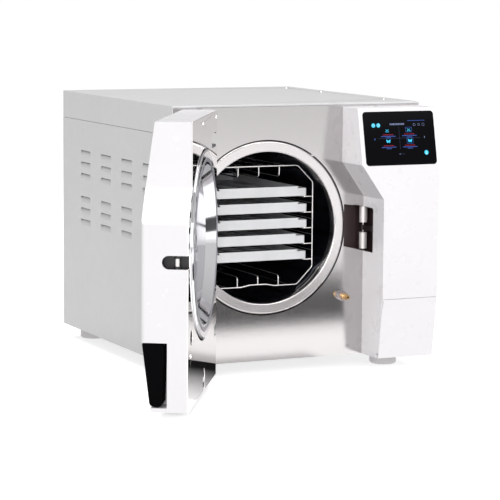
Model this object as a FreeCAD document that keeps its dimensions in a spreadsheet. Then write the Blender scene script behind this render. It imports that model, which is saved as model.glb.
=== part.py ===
import FreeCAD, Part
import os
import math
import Sketcher

# Benchtop steam autoclave with its door standing open.
# Every piece is drawn in the cabinet's own frame: x to the right, y to the back, z up, with y = 0 on the
# face of the steel front panel and z = 0 under the base pan.  The door's pieces are drawn closed, in a frame
# on the hinge axis.  Placements then put them all in the part's frame, whose origin is on the bench under
# the middle of the casing.

os.makedirs("parts", exist_ok=True)
doc = FreeCAD.newDocument("autoclave")
sheet = doc.addObject("Spreadsheet::Sheet", "dims")

DIMENSIONS = {
    # cabinet
    "casing_width": 445,
    "casing_depth": 490,
    "casing_height": 417,
    "panel_sheet": 2,
    "steel_sheet": 1.5,
    "cover_skirt": 47,
    "foot_height": 24,
    "foot_radius": 22.5,
    "foot_inset_side": 45,
    "foot_inset_front": 30,
    # pressure chamber
    "chamber_x": -57,
    "chamber_z": 217,
    "chamber_radius": 123.5,
    "chamber_wall": 4,
    "chamber_straight": 345,
    "flange_radius": 141,
    "flange_depth": 14,
    "flange_proud": 1.5,
    # control housing on the right of the front
    "housing_left_high": 80,
    "housing_left_low": 120.5,
    "housing_fold_high": 320,
    "housing_fold_low": 263,
    "housing_top": 410.5,
    "housing_reach_top": 51.5,
    "housing_reach": 71,
    "housing_reach_foot": 58,
    "housing_slope_foot": 318,
    "housing_wall": 2.5,
    "flap_top": 99,
    # door, closed, measured from its hinge axis
    "hinge_x": -190.2,
    "hinge_y": -32.2,
    "door_open_angle": 121.6,
    "door_face": 26.2,
    "door_back_edge": 28.2,
    "door_reach_low": 307.7,
    "door_reach_high": 267.7,
    "door_fold_low": 266,
    "door_fold_high": 316.5,
    "door_top": 411.5,
    "door_foot": -9,
    "door_thick": 69,
    "door_thick_top": 55.6,
    "door_thick_foot": 53.6,
    "door_bend_top": 315,
    "door_bend_foot": 98,
    "door_wall": 3,
    "disc_radius": 143.5,
    # rack and trays
    "rack_front": 30,
    "rack_back": 328,
    "rack_half": 98.5,
    "rack_corner": 28,
    "wire_radius": 1.2,
    "rail_inset": 17,
    "tray_width": 174,
    "tray_depth": 288,
    "tray_height": 16,
    "tray_pitch": 26,
    "tray_lowest": 160,
    "tray_sheet": 1.2,
    # door lock
    "lock_x": 124,
    "lock_y": 6.5,
}

for row, (name, number) in enumerate(DIMENSIONS.items(), start=1):
    sheet.set(f"A{row}", name)
    sheet.set(f"B{row}", str(number))
    sheet.setAlias(f"B{row}", name)
doc.recompute()


class Size:
    """A length that carries both its value and the sheet formula that gives it."""

    def __init__(self, value, formula):
        self.value = value
        self.formula = formula

    def __add__(self, other):
        other = as_size(other)
        return Size(self.value + other.value, f"({self.formula} + {other.formula})")

    def __sub__(self, other):
        other = as_size(other)
        return Size(self.value - other.value, f"({self.formula} - {other.formula})")

    def __mul__(self, factor):
        factor = as_size(factor)
        return Size(self.value * factor.value, f"({self.formula} * {factor.formula})")

    def __truediv__(self, factor):
        return Size(self.value / factor, f"({self.formula} / {factor})")

    def __neg__(self):
        return Size(-self.value, f"(0 - {self.formula})")

    def __radd__(self, other):
        return as_size(other) + self

    def __rsub__(self, other):
        return as_size(other) - self

    __rmul__ = __mul__


def as_size(number):
    """Takes a plain number or a Size and gives a Size."""
    if isinstance(number, Size):
        return number
    text = f"{number:.6g}"
    return Size(float(number), text if number >= 0 else f"({text})")


def dim(name):
    return Size(float(DIMENSIONS[name]), f"dims.{name}")


def bind(thing, prop, size):
    """Sets a property from a Size, through the sheet."""
    thing.setExpression(prop, as_size(size).formula)


# ---------------------------------------------------------------------------------------------------------
# Sketch outlines

PLANE_ROLES = {"XY": "XY_Plane", "XZ": "XZ_Plane", "YZ": "YZ_Plane"}


def polygon(*corners):
    """A closed outline.  A corner (x, y) starts a line, and (x, y, r) an arc of radius r to the next corner.
    A positive r has its centre on the left of the way along the outline, a negative r on the right."""
    return ("polygon", [tuple(as_size(c) for c in corner) for corner in corners])


def circle(x, y, radius):
    return ("circle", (as_size(x), as_size(y), as_size(radius)))


def rectangle(x0, y0, x1, y1):
    return polygon((x0, y0), (x1, y0), (x1, y1), (x0, y1))


def rounded(x0, y0, x1, y1, radius):
    """A rectangle with round corners."""
    x0, y0, x1, y1, r = (as_size(v) for v in (x0, y0, x1, y1, radius))
    return polygon(
        (x0 + r, y0),
        (x1 - r, y0, r),
        (x1, y0 + r),
        (x1, y1 - r, r),
        (x1 - r, y1),
        (x0 + r, y1, r),
        (x0, y1 - r),
        (x0, y0 + r, r),
    )


def arc_between(start, end, radius):
    """The arc from start to end, and which of its own ends (1 or 2) the outline enters by."""
    a = FreeCAD.Vector(start[0].value, start[1].value, 0)
    b = FreeCAD.Vector(end[0].value, end[1].value, 0)
    middle = (a + b) / 2
    half = (b - a).Length / 2
    rise = math.sqrt(max(radius * radius - half * half, 0))
    left = FreeCAD.Vector(-(b - a).y, (b - a).x, 0).normalize()
    centre = middle + left * (rise if radius > 0 else -rise)
    angle_a = math.atan2(a.y - centre.y, a.x - centre.x)
    angle_b = math.atan2(b.y - centre.y, b.x - centre.x)
    ring = Part.Circle(centre, FreeCAD.Vector(0, 0, 1), abs(radius))
    if radius > 0:
        return Part.ArcOfCircle(ring, angle_a, angle_b), 1
    return Part.ArcOfCircle(ring, angle_b, angle_a), 2


def fix_point(sketch, geometry, end, x, y):
    """Ties one point of a sketch to the sheet by its two coordinates."""
    for kind, size in (("DistanceX", x), ("DistanceY", y)):
        index = sketch.addConstraint(Sketcher.Constraint(kind, geometry, end, size.value))
        if "dims." in size.formula:
            sketch.setExpression(f"Constraints[{index}]", size.formula)


def fix_radius(sketch, geometry, size):
    radius = abs(size.value)
    index = sketch.addConstraint(Sketcher.Constraint("Radius", geometry, radius))
    if "dims." in size.formula:
        sketch.setExpression(f"Constraints[{index}]", size.formula)


def draw_polygon(sketch, corners, closed=True):
    entries = []
    first = sketch.GeometryCount
    count = len(corners) if closed else len(corners) - 1
    for i, corner in enumerate(corners[:count]):
        following = corners[(i + 1) % len(corners)]
        if len(corner) == 3:
            curve, entry = arc_between(corner, following, corner[2].value)
        else:
            start = FreeCAD.Vector(corner[0].value, corner[1].value, 0)
            end = FreeCAD.Vector(following[0].value, following[1].value, 0)
            curve, entry = Part.LineSegment(start, end), 1
        sketch.addGeometry(curve, False)
        entries.append(entry)
    for i, corner in enumerate(corners[:count]):
        before = (i - 1) % count
        leaving = 3 - entries[before]
        if closed or i > 0:
            joint = Sketcher.Constraint("Coincident", first + before, leaving, first + i, entries[i])
            sketch.addConstraint(joint)
        fix_point(sketch, first + i, entries[i], corner[0], corner[1])
        if len(corner) == 3:
            fix_radius(sketch, first + i, corner[2] if corner[2].value > 0 else -corner[2])
    if not closed:
        fix_point(sketch, first + count - 1, 3 - entries[-1], corners[-1][0], corners[-1][1])


def draw_circle(sketch, x, y, radius):
    ring = Part.Circle(FreeCAD.Vector(x.value, y.value, 0), FreeCAD.Vector(0, 0, 1), radius.value)
    index = sketch.addGeometry(ring, False)
    fix_point(sketch, index, 3, x, y)
    fix_radius(sketch, index, radius)


def draw(sketch, outlines):
    for kind, data in outlines:
        if kind == "circle":
            draw_circle(sketch, *data)
        else:
            draw_polygon(sketch, data)


# ---------------------------------------------------------------------------------------------------------
# PartDesign features

pieces = []


def new_body(name, place="cabinet"):
    """A sub-part in its own body.  Door pieces stand on the hinge axis, turned open."""
    body = doc.addObject("PartDesign::Body", name)
    body.Label = name
    body.AllowCompound = True
    put(body, place)
    pieces.append(body)
    return body


def put(piece, place):
    """Places a piece in the part's frame."""
    floor = dim("foot_height")
    middle = dim("casing_depth") / 2
    if place == "cabinet":
        bind(piece, "Placement.Base.y", -middle)
        bind(piece, "Placement.Base.z", floor)
        return
    bind(piece, "Placement.Base.x", dim("hinge_x"))
    bind(piece, "Placement.Base.y", dim("hinge_y") - middle)
    bind(piece, "Placement.Base.z", floor)
    piece.Placement.Rotation = FreeCAD.Rotation(FreeCAD.Vector(0, 0, 1), -1)
    bind(piece, "Placement.Rotation.Angle", -dim("door_open_angle"))


def sketch_in(body, plane, outlines, depth, right=0, up=0):
    """A sketch on one of the body's origin planes, moved along its normal and within itself."""
    role = PLANE_ROLES[plane]
    support = next(f for f in body.Origin.OriginFeatures if f.Role == role)
    sketch = body.newObject("Sketcher::SketchObject", f"{body.Name}_sketch")
    sketch.AttachmentSupport = (support, [""])
    sketch.MapMode = "FlatFace"
    bind(sketch, "AttachmentOffset.Base.x", right)
    bind(sketch, "AttachmentOffset.Base.y", up)
    bind(sketch, "AttachmentOffset.Base.z", depth)
    draw(sketch, outlines)
    sketch.Visibility = False
    return sketch


def pad(body, plane, outlines, low, high):
    """Adds the outlines' area from low to high along the plane's axis."""
    low, high = as_size(low), as_size(high)
    depth = -high if plane == "XZ" else low
    feature_sketch = sketch_in(body, plane, outlines, depth)
    feature = body.newObject("PartDesign::Pad", f"{body.Name}_pad")
    feature.Profile = feature_sketch
    bind(feature, "Length", high - low)
    return feature


def cut(body, plane, outlines, low, high):
    """Takes the outlines' area away from low to high along the plane's axis."""
    low, high = as_size(low), as_size(high)
    depth = -low if plane == "XZ" else high
    feature_sketch = sketch_in(body, plane, outlines, depth)
    feature = body.newObject("PartDesign::Pocket", f"{body.Name}_pocket")
    feature.Profile = feature_sketch
    bind(feature, "Length", high - low)
    return feature


AXES = {"Y": ("YZ", "H_Axis"), "Z": ("XZ", "V_Axis"), "X": ("XY", "H_Axis")}


def turn(body, axis, centre, outlines):
    """Turns outlines about an axis.  For axis Y or X the outlines are (along, radius) and for Z (radius, z).
    The centre is (x, z) for Y, (x, y) for Z and (y, z) for X."""
    plane, line = AXES[axis]
    first, second = as_size(centre[0]), as_size(centre[1])
    if axis == "Y":
        turned = sketch_in(body, plane, outlines, first, up=second)
    elif axis == "Z":
        turned = sketch_in(body, plane, outlines, -second, right=first)
    else:
        turned = sketch_in(body, plane, outlines, second, up=first)
    feature = body.newObject("PartDesign::Revolution", f"{body.Name}_turned")
    feature.Profile = turned
    feature.ReferenceAxis = (turned, [line])
    feature.Angle = 360
    return feature


def repeat(body, feature, axis, pitch, count):
    """Repeats a feature along one of the body's own axes."""
    role = f"{axis}_Axis"
    line = next(f for f in body.Origin.OriginFeatures if f.Role == role)
    pattern = body.newObject("PartDesign::LinearPattern", f"{body.Name}_row")
    pattern.Originals = [feature]
    pattern.Direction = (line, [""])
    bind(pattern, "Length", as_size(pitch) * (count - 1))
    pattern.Occurrences = count
    body.Tip = pattern
    return pattern


# ---------------------------------------------------------------------------------------------------------
# Part prisms and booleans, for the shells whose faces slope two ways

PLANE_TURNS = {
    "XY": FreeCAD.Rotation(),
    "XZ": FreeCAD.Rotation(FreeCAD.Vector(1, 0, 0), 90),
    "YZ": FreeCAD.Rotation(FreeCAD.Vector(1, 1, 1), 120),
}
PLANE_AXES = {"XY": ("z", (0, 0, 1)), "XZ": ("y", (0, 1, 0)), "YZ": ("x", (1, 0, 0))}


def prism(name, plane, outlines, low, high):
    """A straight prism of the outlines from low to high along the plane's axis."""
    low, high = as_size(low), as_size(high)
    letter, direction = PLANE_AXES[plane]
    sketch = doc.addObject("Sketcher::SketchObject", f"{name}_sketch")
    sketch.Placement.Rotation = PLANE_TURNS[plane]
    bind(sketch, f"Placement.Base.{letter}", low)
    draw(sketch, outlines)
    solid = doc.addObject("Part::Extrusion", name)
    solid.Base = sketch
    solid.DirMode = "Custom"
    solid.Dir = FreeCAD.Vector(*direction)
    bind(solid, "LengthFwd", high - low)
    solid.Solid = True
    return solid


def common(name, shapes):
    both = doc.addObject("Part::MultiCommon", name)
    both.Shapes = shapes
    return both


def fuse(name, shapes):
    both = doc.addObject("Part::MultiFuse", name)
    both.Shapes = shapes
    return both


def subtract(name, base, tools):
    """Cuts the tools out of the base, one or several."""
    tool = tools[0] if len(tools) == 1 else fuse(f"{name}_tools", tools)
    result = doc.addObject("Part::Cut", name)
    result.Base = base
    result.Tool = tool
    return result


def finished(piece, place="cabinet"):
    """Names the result of booleans as a sub-part and places it."""
    piece.Label = piece.Name
    put(piece, place)
    pieces.append(piece)
    return piece


def bent(points, radius, closed=False):
    """Turns the corners of a path into bends of one radius."""
    points = [tuple(as_size(c) for c in point) for point in points]
    count = len(points)
    path = []
    for i, (x, y) in enumerate(points):
        if not closed and i in (0, count - 1):
            path.append((x, y))
            continue
        before, after = points[i - 1], points[(i + 1) % count]
        enter = FreeCAD.Vector(x.value - before[0].value, y.value - before[1].value, 0).normalize()
        leave = FreeCAD.Vector(after[0].value - x.value, after[1].value - y.value, 0).normalize()
        trim = radius * math.tan(enter.getAngle(leave) / 2)
        side = 1 if enter.cross(leave).z > 0 else -1
        path.append((x - enter.x * trim, y - enter.y * trim, as_size(side * radius)))
        path.append((x + leave.x * trim, y + leave.y * trim))
    return path


def bent_wire(name, plane, path, at, radius, closed=False):
    """A round wire along a path in a plane that stands at a distance along the plane's axis."""
    letter, direction = PLANE_AXES[plane]
    turn_plane = PLANE_TURNS[plane]
    spine = doc.addObject("Sketcher::SketchObject", f"{name}_path")
    spine.Placement.Rotation = turn_plane
    bind(spine, f"Placement.Base.{letter}", at)
    draw_polygon(spine, path, closed)
    start, following = path[0], path[1]
    if closed:
        start, following = path[1], path[2]
    along = FreeCAD.Vector(following[0].value - start[0].value, following[1].value - start[1].value, 0)
    section = doc.addObject("Part::Circle", f"{name}_section")
    bind(section, "Radius", radius)
    section.Placement.Rotation = turn_plane * FreeCAD.Rotation(FreeCAD.Vector(0, 0, 1), along)
    letters = {"XY": "xy", "XZ": "xz", "YZ": "yz"}[plane]
    bind(section, f"Placement.Base.{letters[0]}", start[0])
    bind(section, f"Placement.Base.{letters[1]}", start[1])
    bind(section, f"Placement.Base.{letter}", at)
    wire = doc.addObject("Part::Sweep", name)
    wire.Sections = [section]
    wire.Spine = (spine, [])
    wire.Solid = True
    return wire


# ---------------------------------------------------------------------------------------------------------
# Named lengths used by several pieces

half_width = dim("casing_width") / 2
depth = dim("casing_depth")
height = dim("casing_height")
sheet_thick = dim("panel_sheet")
steel = dim("steel_sheet")
inside = half_width - sheet_thick
panel_gap = 0.2
floor_top = 1.5
seam_z = height - dim("cover_skirt")
feet_x = half_width - dim("foot_inset_side")
feet_front = dim("foot_inset_front")
feet_back = depth - dim("foot_inset_front")
foot_places = [(x, y) for x in (-feet_x, feet_x) for y in (feet_front, feet_back)]
chamber_x = dim("chamber_x")
chamber_z = dim("chamber_z")
bore = dim("chamber_radius")
shell_outside = bore + dim("chamber_wall")
rear_face = depth - sheet_thick
hinge_centre = (dim("hinge_x"), dim("hinge_y"))

LUG_HALF = 7
LUG_LEVELS = (64, 367)
KNUCKLE_THICK = 13.7
HINGE_GAP = 0.3
PIN_RADIUS = 5
RUNNING_FIT = 0.05

# opening for the lock pocket in the steel panel, from the chamber ring to inside the housing
POCKET_RIGHT = 140
POCKET_LOW = 166
POCKET_HIGH = 252

FAN_CENTRE = (150, 300)
FAN_HALF = 60
INLET_CENTRE = (170, 80)
SWITCH_CENTRE = (170, 135)
FUSE_CENTRES = ((126, 80), (126, 104))
VALVE_RADIUS = 14
NIPPLE_X = 82
NIPPLE_Z = 99
SCREW_RADIUS = 1.5
SCREW_HEAD = 3.2
TOP_SCREWS = ((194, 69), (194, 300), (194, 440))
REAR_SCREWS = ((-208, 20), (0, 20), (208, 20), (-208, 395), (0, 395), (208, 395))


# ---------------------------------------------------------------------------------------------------------
# Casing

LOUVRE_COLUMNS = (75, 168.5, 262, 357.5)
LOUVRE_LENGTH = 46
LOUVRE_TOPS = (317.5, 297.5, 277.5, 237.5, 217.5, 197.5)
LOUVRE_HEIGHT = 10
LOUVRE_SINK = 3
LOUVRE_SHEET = 1.2


def make_side_panel(name, side):
    """A side of the casing with pressed louvres: each blade leans in from its foot to a slot at its top."""
    outer = half_width * side
    inner = inside * side
    low, high = (outer, inner) if side < 0 else (inner, outer)
    body = new_body(name)
    pad(body, "YZ", [rectangle(0, 0, depth, seam_z - 0.4)], low, high)
    windows = [
        rectangle(y, top - LOUVRE_HEIGHT, y + LOUVRE_LENGTH, top)
        for y in LOUVRE_COLUMNS
        for top in LOUVRE_TOPS
    ]
    cut(body, "YZ", windows, low, high)
    sink = -side * LOUVRE_SINK
    sheet_in = -side * LOUVRE_SHEET
    for y in LOUVRE_COLUMNS:
        blades = [
            polygon(
                (outer, top - LOUVRE_HEIGHT),
                (outer + sheet_in, top - LOUVRE_HEIGHT),
                (outer + sink + sheet_in, top - 1.5),
                (outer + sink, top - 1.5),
            )
            for top in LOUVRE_TOPS
        ]
        pad(body, "XZ", blades, y, y + LOUVRE_LENGTH)


def make_base_pan():
    body = new_body("base_pan")
    edge = inside - panel_gap
    front = steel + panel_gap
    back = rear_face - panel_gap
    pad(body, "XY", [rectangle(-edge, front, edge, back)], 0, floor_top)
    for side in (-1, 1):
        wall = sorted((edge * side, (edge - floor_top) * side), key=lambda v: v.value)
        pad(body, "XY", [rectangle(wall[0], front, wall[1], back)], floor_top, 16)
    cut(body, "XY", [circle(x, y, 3.2) for x, y in foot_places], 0, floor_top)


def make_top_cover():
    body = new_body("top_cover")
    pad(body, "XY", [rectangle(-half_width, 0, half_width, depth)], height - sheet_thick, height)
    for side in (-1, 1):
        wall = sorted((half_width * side, inside * side), key=lambda v: v.value)
        pad(body, "XY", [rectangle(wall[0], 0, wall[1], depth)], seam_z, height - sheet_thick)
    lip_foot = height - sheet_thick - 1.5
    pad(body, "XZ", [rectangle(-inside, lip_foot, inside, height - sheet_thick)], 0, sheet_thick)
    holes = [circle(x, y, SCREW_RADIUS + 0.1) for x, y in TOP_SCREWS]
    cut(body, "XY", holes, height - sheet_thick, height)


def make_rear_panel():
    body = new_body("rear_panel")
    edge = inside - panel_gap
    outline = rectangle(-edge, floor_top + panel_gap, edge, height - sheet_thick - panel_gap)
    pad(body, "XZ", [outline], rear_face, depth)
    fan_x, fan_z = FAN_CENTRE
    slots = []
    for row in range(-5, 6):
        reach = math.sqrt(56**2 - (row * 10) ** 2)
        slots.append(rectangle(fan_x - reach, fan_z + row * 10 - 3, fan_x - 2, fan_z + row * 10 + 3))
        slots.append(rectangle(fan_x + 2, fan_z + row * 10 - 3, fan_x + reach, fan_z + row * 10 + 3))
    cut(body, "XZ", slots, rear_face, depth)
    inlet_x, inlet_z = INLET_CENTRE
    switch_x, switch_z = SWITCH_CENTRE
    openings = [
        rectangle(inlet_x - 24.2, inlet_z - 13.7, inlet_x + 24.2, inlet_z + 13.7),
        rectangle(switch_x - 14.2, switch_z - 11.2, switch_x + 14.2, switch_z + 11.2),
        circle(chamber_x, chamber_z, VALVE_RADIUS),
    ]
    openings += [circle(x, z, 6.7) for x, z in FUSE_CENTRES]
    openings += [circle(x, z, SCREW_RADIUS + 0.1) for x, z in REAR_SCREWS]
    cut(body, "XZ", openings, rear_face, depth)


def make_front_panel():
    """The brushed steel front: openings for the chamber ring, hinge lugs, lock pocket and drain nipple."""
    body = new_body("front_panel")
    edge = inside - panel_gap
    top = height - sheet_thick - 1.5 - panel_gap
    pad(body, "XZ", [rectangle(-edge, 0, edge, top)], 0, steel)
    cut(body, "XZ", [circle(chamber_x, chamber_z, dim("flange_radius") + 1.8)], 0, steel)
    openings = [
        circle(NIPPLE_X, NIPPLE_Z, 5.2),
        rectangle(150, 30, 210, 385),
        polygon(
            (84.5, 181),
            (123, 172),
            (123, POCKET_LOW - panel_gap),
            (POCKET_RIGHT + panel_gap, POCKET_LOW - panel_gap),
            (POCKET_RIGHT + panel_gap, POCKET_HIGH + panel_gap),
            (123, POCKET_HIGH + panel_gap),
            (123, 245.8),
            (84.5, 250.5),
        ),
    ]
    for level in LUG_LEVELS:
        slot_x = dim("hinge_x")
        openings.append(
            rectangle(
                slot_x - LUG_HALF - 0.3,
                level - LUG_HALF - 0.3,
                slot_x + LUG_HALF + 0.3,
                level + LUG_HALF + 0.3,
            )
        )
    cut(body, "XZ", openings, 0, steel)


def make_feet():
    """Four round rubber feet, each with a recess for its screw."""
    body = new_body("feet")
    foot = dim("foot_height")
    radius = dim("foot_radius")
    recess_top = -foot + 12
    for x, y in foot_places:
        section = polygon(
            (3.2, recess_top),
            (8, recess_top),
            (8, -foot),
            (radius - 2.5, -foot),
            (radius, -foot + 2.5),
            (radius, 0),
            (3.2, 0),
        )
        turn(body, "Z", (x, y), [section])


def make_casing_screws():
    """The four foot screws, and the small pan-head screws of the top cover and the rear panel."""
    body = new_body("casing_screws")
    head = -dim("foot_height") + 12
    for x, y in foot_places:
        section = polygon((0, head - 4), (6, head - 4), (6, head), (3, head), (3, 8), (0, 8))
        turn(body, "Z", (x, y), [section])
    for x, y in TOP_SCREWS:
        section = polygon(
            (0, height - 8),
            (SCREW_RADIUS, height - 8),
            (SCREW_RADIUS, height),
            (SCREW_HEAD, height),
            (SCREW_HEAD - 1, height + 1.6),
            (0, height + 1.6),
        )
        turn(body, "Z", (x, y), [section])
    for x, z in REAR_SCREWS:
        section = polygon(
            (depth - 8, 0),
            (depth + 1.6, 0),
            (depth + 1.6, SCREW_HEAD - 1),
            (depth, SCREW_HEAD),
            (depth, SCREW_RADIUS),
            (depth - 8, SCREW_RADIUS),
        )
        turn(body, "Y", (x, z), [section])


# ---------------------------------------------------------------------------------------------------------
# Pressure chamber and what is on it


def make_chamber_flange():
    """The polished ring round the mouth, its front edges rounded."""
    body = new_body("chamber_flange")
    face = -dim("flange_proud")
    outer = dim("flange_radius")
    back = dim("flange_depth")
    section = polygon(
        (back, bore),
        (back, outer),
        (face + 3, outer, 3),
        (face, outer - 3),
        (face, bore + 2, 2),
        (face + 2, bore),
    )
    turn(body, "Y", (chamber_x, chamber_z), [section])


def make_pressure_chamber():
    """A cylinder with a dished rear end and a boss for the safety valve."""
    body = new_body("pressure_chamber")
    start = dim("flange_depth")
    straight = dim("chamber_straight")
    sag_in = 25
    sag_out = 29
    dish_in = (bore * bore + sag_in**2) / (2 * sag_in)
    dish_out = (shell_outside * shell_outside + sag_out**2) / (2 * sag_out)
    section = polygon(
        (start, bore),
        (straight, bore, -dish_in),
        (straight + sag_in, 0),
        (straight + sag_out, 0, dish_out),
        (straight, shell_outside),
        (start, shell_outside),
    )
    turn(body, "Y", (chamber_x, chamber_z), [section])
    pad(body, "XZ", [circle(chamber_x, chamber_z, 11)], straight + sag_in + 2, 390)


def make_sleeve(name, inner, outer, low, high):
    """A plain sleeve round the chamber."""
    body = new_body(name)
    turn(body, "Y", (chamber_x, chamber_z), [rectangle(low, inner, high, outer)])
    return body


def make_heater_bands():
    body = make_sleeve("heater_bands", shell_outside, shell_outside + 3, 80, 130)
    band = rectangle(230, shell_outside, 280, shell_outside + 3)
    turn(body, "Y", (chamber_x, chamber_z), [band])


def make_chamber_cradles():
    """Two saddle plates that carry the chamber on the base pan."""
    body = new_body("chamber_cradles")
    for y in (40, 333):
        plate = rectangle(chamber_x - 90, floor_top, chamber_x + 90, 150)
        pad(body, "XZ", [plate], y, y + 4)
        foot = rectangle(chamber_x - 90, y + 4, chamber_x + 90, y + 22)
        pad(body, "XY", [foot], floor_top, floor_top + 3)
    cut(body, "XZ", [circle(chamber_x, chamber_z, shell_outside + 0.1)], 39, 338)


def make_safety_valve():
    body = new_body("safety_valve")
    section = polygon(
        (390, 0),
        (495, 0),
        (495, 7),
        (486, 7),
        (486, 10),
        (420, 10),
        (416, 13),
        (404, 13),
        (400, 9),
        (390, 9),
    )
    turn(body, "Y", (chamber_x, chamber_z), [section])


def make_drain_nipple():
    """The brass hose nipple on the front, and the chrome nut that holds it."""
    nut = new_body("nipple_nut")
    corner_radius = 8.6
    corners = [
        (NIPPLE_X + corner_radius * math.cos(k), NIPPLE_Z + corner_radius * math.sin(k))
        for k in (math.pi / 6 + i * math.pi / 3 for i in range(6))
    ]
    pad(nut, "XZ", [polygon(*corners), circle(NIPPLE_X, NIPPLE_Z, 5.02)], -8, 0)
    nipple = new_body("drain_nipple")
    section = polygon(
        (-23, 2),
        (-23, 3.6),
        (-21, 4.4),
        (-17, 3.6),
        (-13, 3.6),
        (-12, 5),
        (20, 5),
        (20, 2),
    )
    turn(nipple, "Y", (NIPPLE_X, NIPPLE_Z), [section])


make_base_pan()
make_side_panel("left_side_panel", -1)
make_side_panel("right_side_panel", 1)
make_top_cover()
make_rear_panel()
make_front_panel()
make_feet()
make_casing_screws()
make_chamber_flange()
make_pressure_chamber()
make_heater_bands()
make_sleeve("chamber_insulation", shell_outside + 3.5, shell_outside + 20.5, 60, 328)
make_chamber_cradles()
make_safety_valve()
make_drain_nipple()


# ---------------------------------------------------------------------------------------------------------
# Control housing, screen and service flap

wall = dim("housing_wall")
reach = dim("housing_reach")
reach_top = dim("housing_reach_top")
reach_foot = dim("housing_reach_foot")
housing_top = dim("housing_top")
slope_foot = dim("housing_slope_foot")
flap_top = dim("flap_top")
left_high = dim("housing_left_high")
left_low = dim("housing_left_low")

LEDGE = 3
SEAM = 0.6
NOTCH_Z = 8
NOTCH_Y = -48
NOTCH_FRONT = -56
FLAP_AXIS = (-52, 3.4)
ROD_RADIUS = 1.5
BARREL_RADIUS = 3
TAB_PLACES = (150, 186)
TAB_WIDTH = 6
GLASS = (87.5, 1, 218, 88.5)
GLASS_CORNER = 6


def tilt_to_slope(piece):
    """Lays a piece on the sloping screen face: its own z runs up the slope."""
    piece.Placement.Rotation = FreeCAD.Rotation(FreeCAD.Vector(1, 0, 0), -1)
    lean = (reach - reach_top) / (housing_top - slope_foot).value
    piece.setExpression("Placement.Rotation.Angle", f"-atan({lean.formula})")


def make_control_housing():
    """A shell whose left side steps out below the door's fold, and whose face slopes back at the top."""
    outer_side = prism(
        "housing_side",
        "YZ",
        [
            polygon(
                (0, 0),
                (0, housing_top),
                (-reach_top, housing_top),
                (-reach, slope_foot),
                (-reach, flap_top + SEAM),
                (LEDGE - reach, flap_top + SEAM),
                (NOTCH_FRONT, NOTCH_Z),
                (NOTCH_Y, NOTCH_Z),
                (NOTCH_Y, 0),
            )
        ],
        left_high,
        half_width,
    )
    outer_front = prism(
        "housing_front",
        "XZ",
        [
            polygon(
                (left_high, housing_top),
                (half_width, housing_top),
                (half_width, 0),
                (left_low, 0),
                (left_low, dim("housing_fold_low")),
                (left_high, dim("housing_fold_high")),
            )
        ],
        -reach - 1,
        0,
    )
    inner_side = prism(
        "housing_inner_side",
        "YZ",
        [
            polygon(
                (5, wall),
                (5, housing_top - wall),
                (wall - reach_top, housing_top - wall),
                (wall - reach, slope_foot),
                (wall - reach, flap_top + SEAM + wall),
                (wall + LEDGE - reach, flap_top + SEAM + wall),
                (wall + NOTCH_FRONT, NOTCH_Z + wall),
                (wall + NOTCH_Y, NOTCH_Z + wall),
                (wall + NOTCH_Y, wall),
            )
        ],
        left_high,
        half_width,
    )
    diagonal_shift = 0.8
    inner_front = prism(
        "housing_inner_front",
        "XZ",
        [
            polygon(
                (left_high + wall, housing_top - wall),
                (half_width - wall, housing_top - wall),
                (half_width - wall, wall),
                (left_low + wall, wall),
                (left_low + wall, dim("housing_fold_low") + diagonal_shift),
                (left_high + wall, dim("housing_fold_high") + diagonal_shift),
            )
        ],
        -reach - 1,
        6,
    )
    x0, s0, x1, s1 = GLASS
    window_outline = rounded(x0 - 0.3, s0 - 0.3, x1 + 0.3, s1 + 0.3, GLASS_CORNER)
    window = prism("screen_window", "XZ", [window_outline], -4, 8)
    tilt_to_slope(window)
    bind(window, "Placement.Base.y", -reach)
    bind(window, "Placement.Base.z", slope_foot)
    service = prism("service_window", "XZ", [rectangle(127, 14, 216, 94)], -reach - 1, -40)
    lock = prism(
        "lock_window",
        "YZ",
        [
            polygon(
                (1, 172),
                (-30.2, 172, -4),
                (-34.2, 176),
                (-34.2, 241.8, -4),
                (-30.2, 245.8),
                (1, 245.8),
            )
        ],
        left_low - 1,
        left_low + wall + 0.5,
    )
    outer = common("housing_outer", [outer_side, outer_front])
    inner = common("housing_inner", [inner_side, inner_front])
    shell = subtract("housing_shell", outer, [inner, window, service, lock])
    tabs = [
        prism(f"flap_tab_{i}", "YZ", [rectangle(-54.2, 0.9, -47, 5.7)], x, x + TAB_WIDTH)
        for i, x in enumerate(TAB_PLACES)
    ]
    with_tabs = fuse("housing_with_tabs", [shell, *tabs])
    bore_for_rod = prism("rod_bore", "YZ", [circle(*FLAP_AXIS, ROD_RADIUS)], 140, 200)
    finished(subtract("control_housing", with_tabs, [bore_for_rod]))


def make_on_slope(name, outline, low, high):
    """A plate lying on the screen slope."""
    body = new_body(name)
    pad(body, "XZ", [outline], low, high)
    tilt_to_slope(body)
    bind(body, "Placement.Base.y", -(depth / 2) - reach)
    bind(body, "Placement.Base.z", dim("foot_height") + slope_foot)


def make_service_flap():
    """The kick panel below the seam, with hinge barrels behind its foot and a finger notch on its left."""
    body = new_body("service_flap")
    thick = 2.7
    skin = polygon(
        (-reach, flap_top),
        (-reach_foot, 0.4),
        (thick - reach_foot, 0.4),
        (thick - reach, flap_top),
    )
    left = left_low + 0.4
    right = half_width - 0.4
    pad(body, "YZ", [skin], left, right)
    cut(body, "XZ", [rectangle(left, 84, left + 1.6, 96)], -reach - 1, 0)
    edges = [125, *(x + shift for x in TAB_PLACES for shift in (-0.5, TAB_WIDTH + 0.5)), 218]
    for start, end in zip(edges[::2], edges[1::2]):
        pad(body, "YZ", [rectangle(-56, 1.5, -52, 5.3)], start, end)
        pad(body, "YZ", [circle(*FLAP_AXIS, BARREL_RADIUS)], start, end)
    cut(body, "YZ", [circle(*FLAP_AXIS, ROD_RADIUS + RUNNING_FIT)], left, right)


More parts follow.
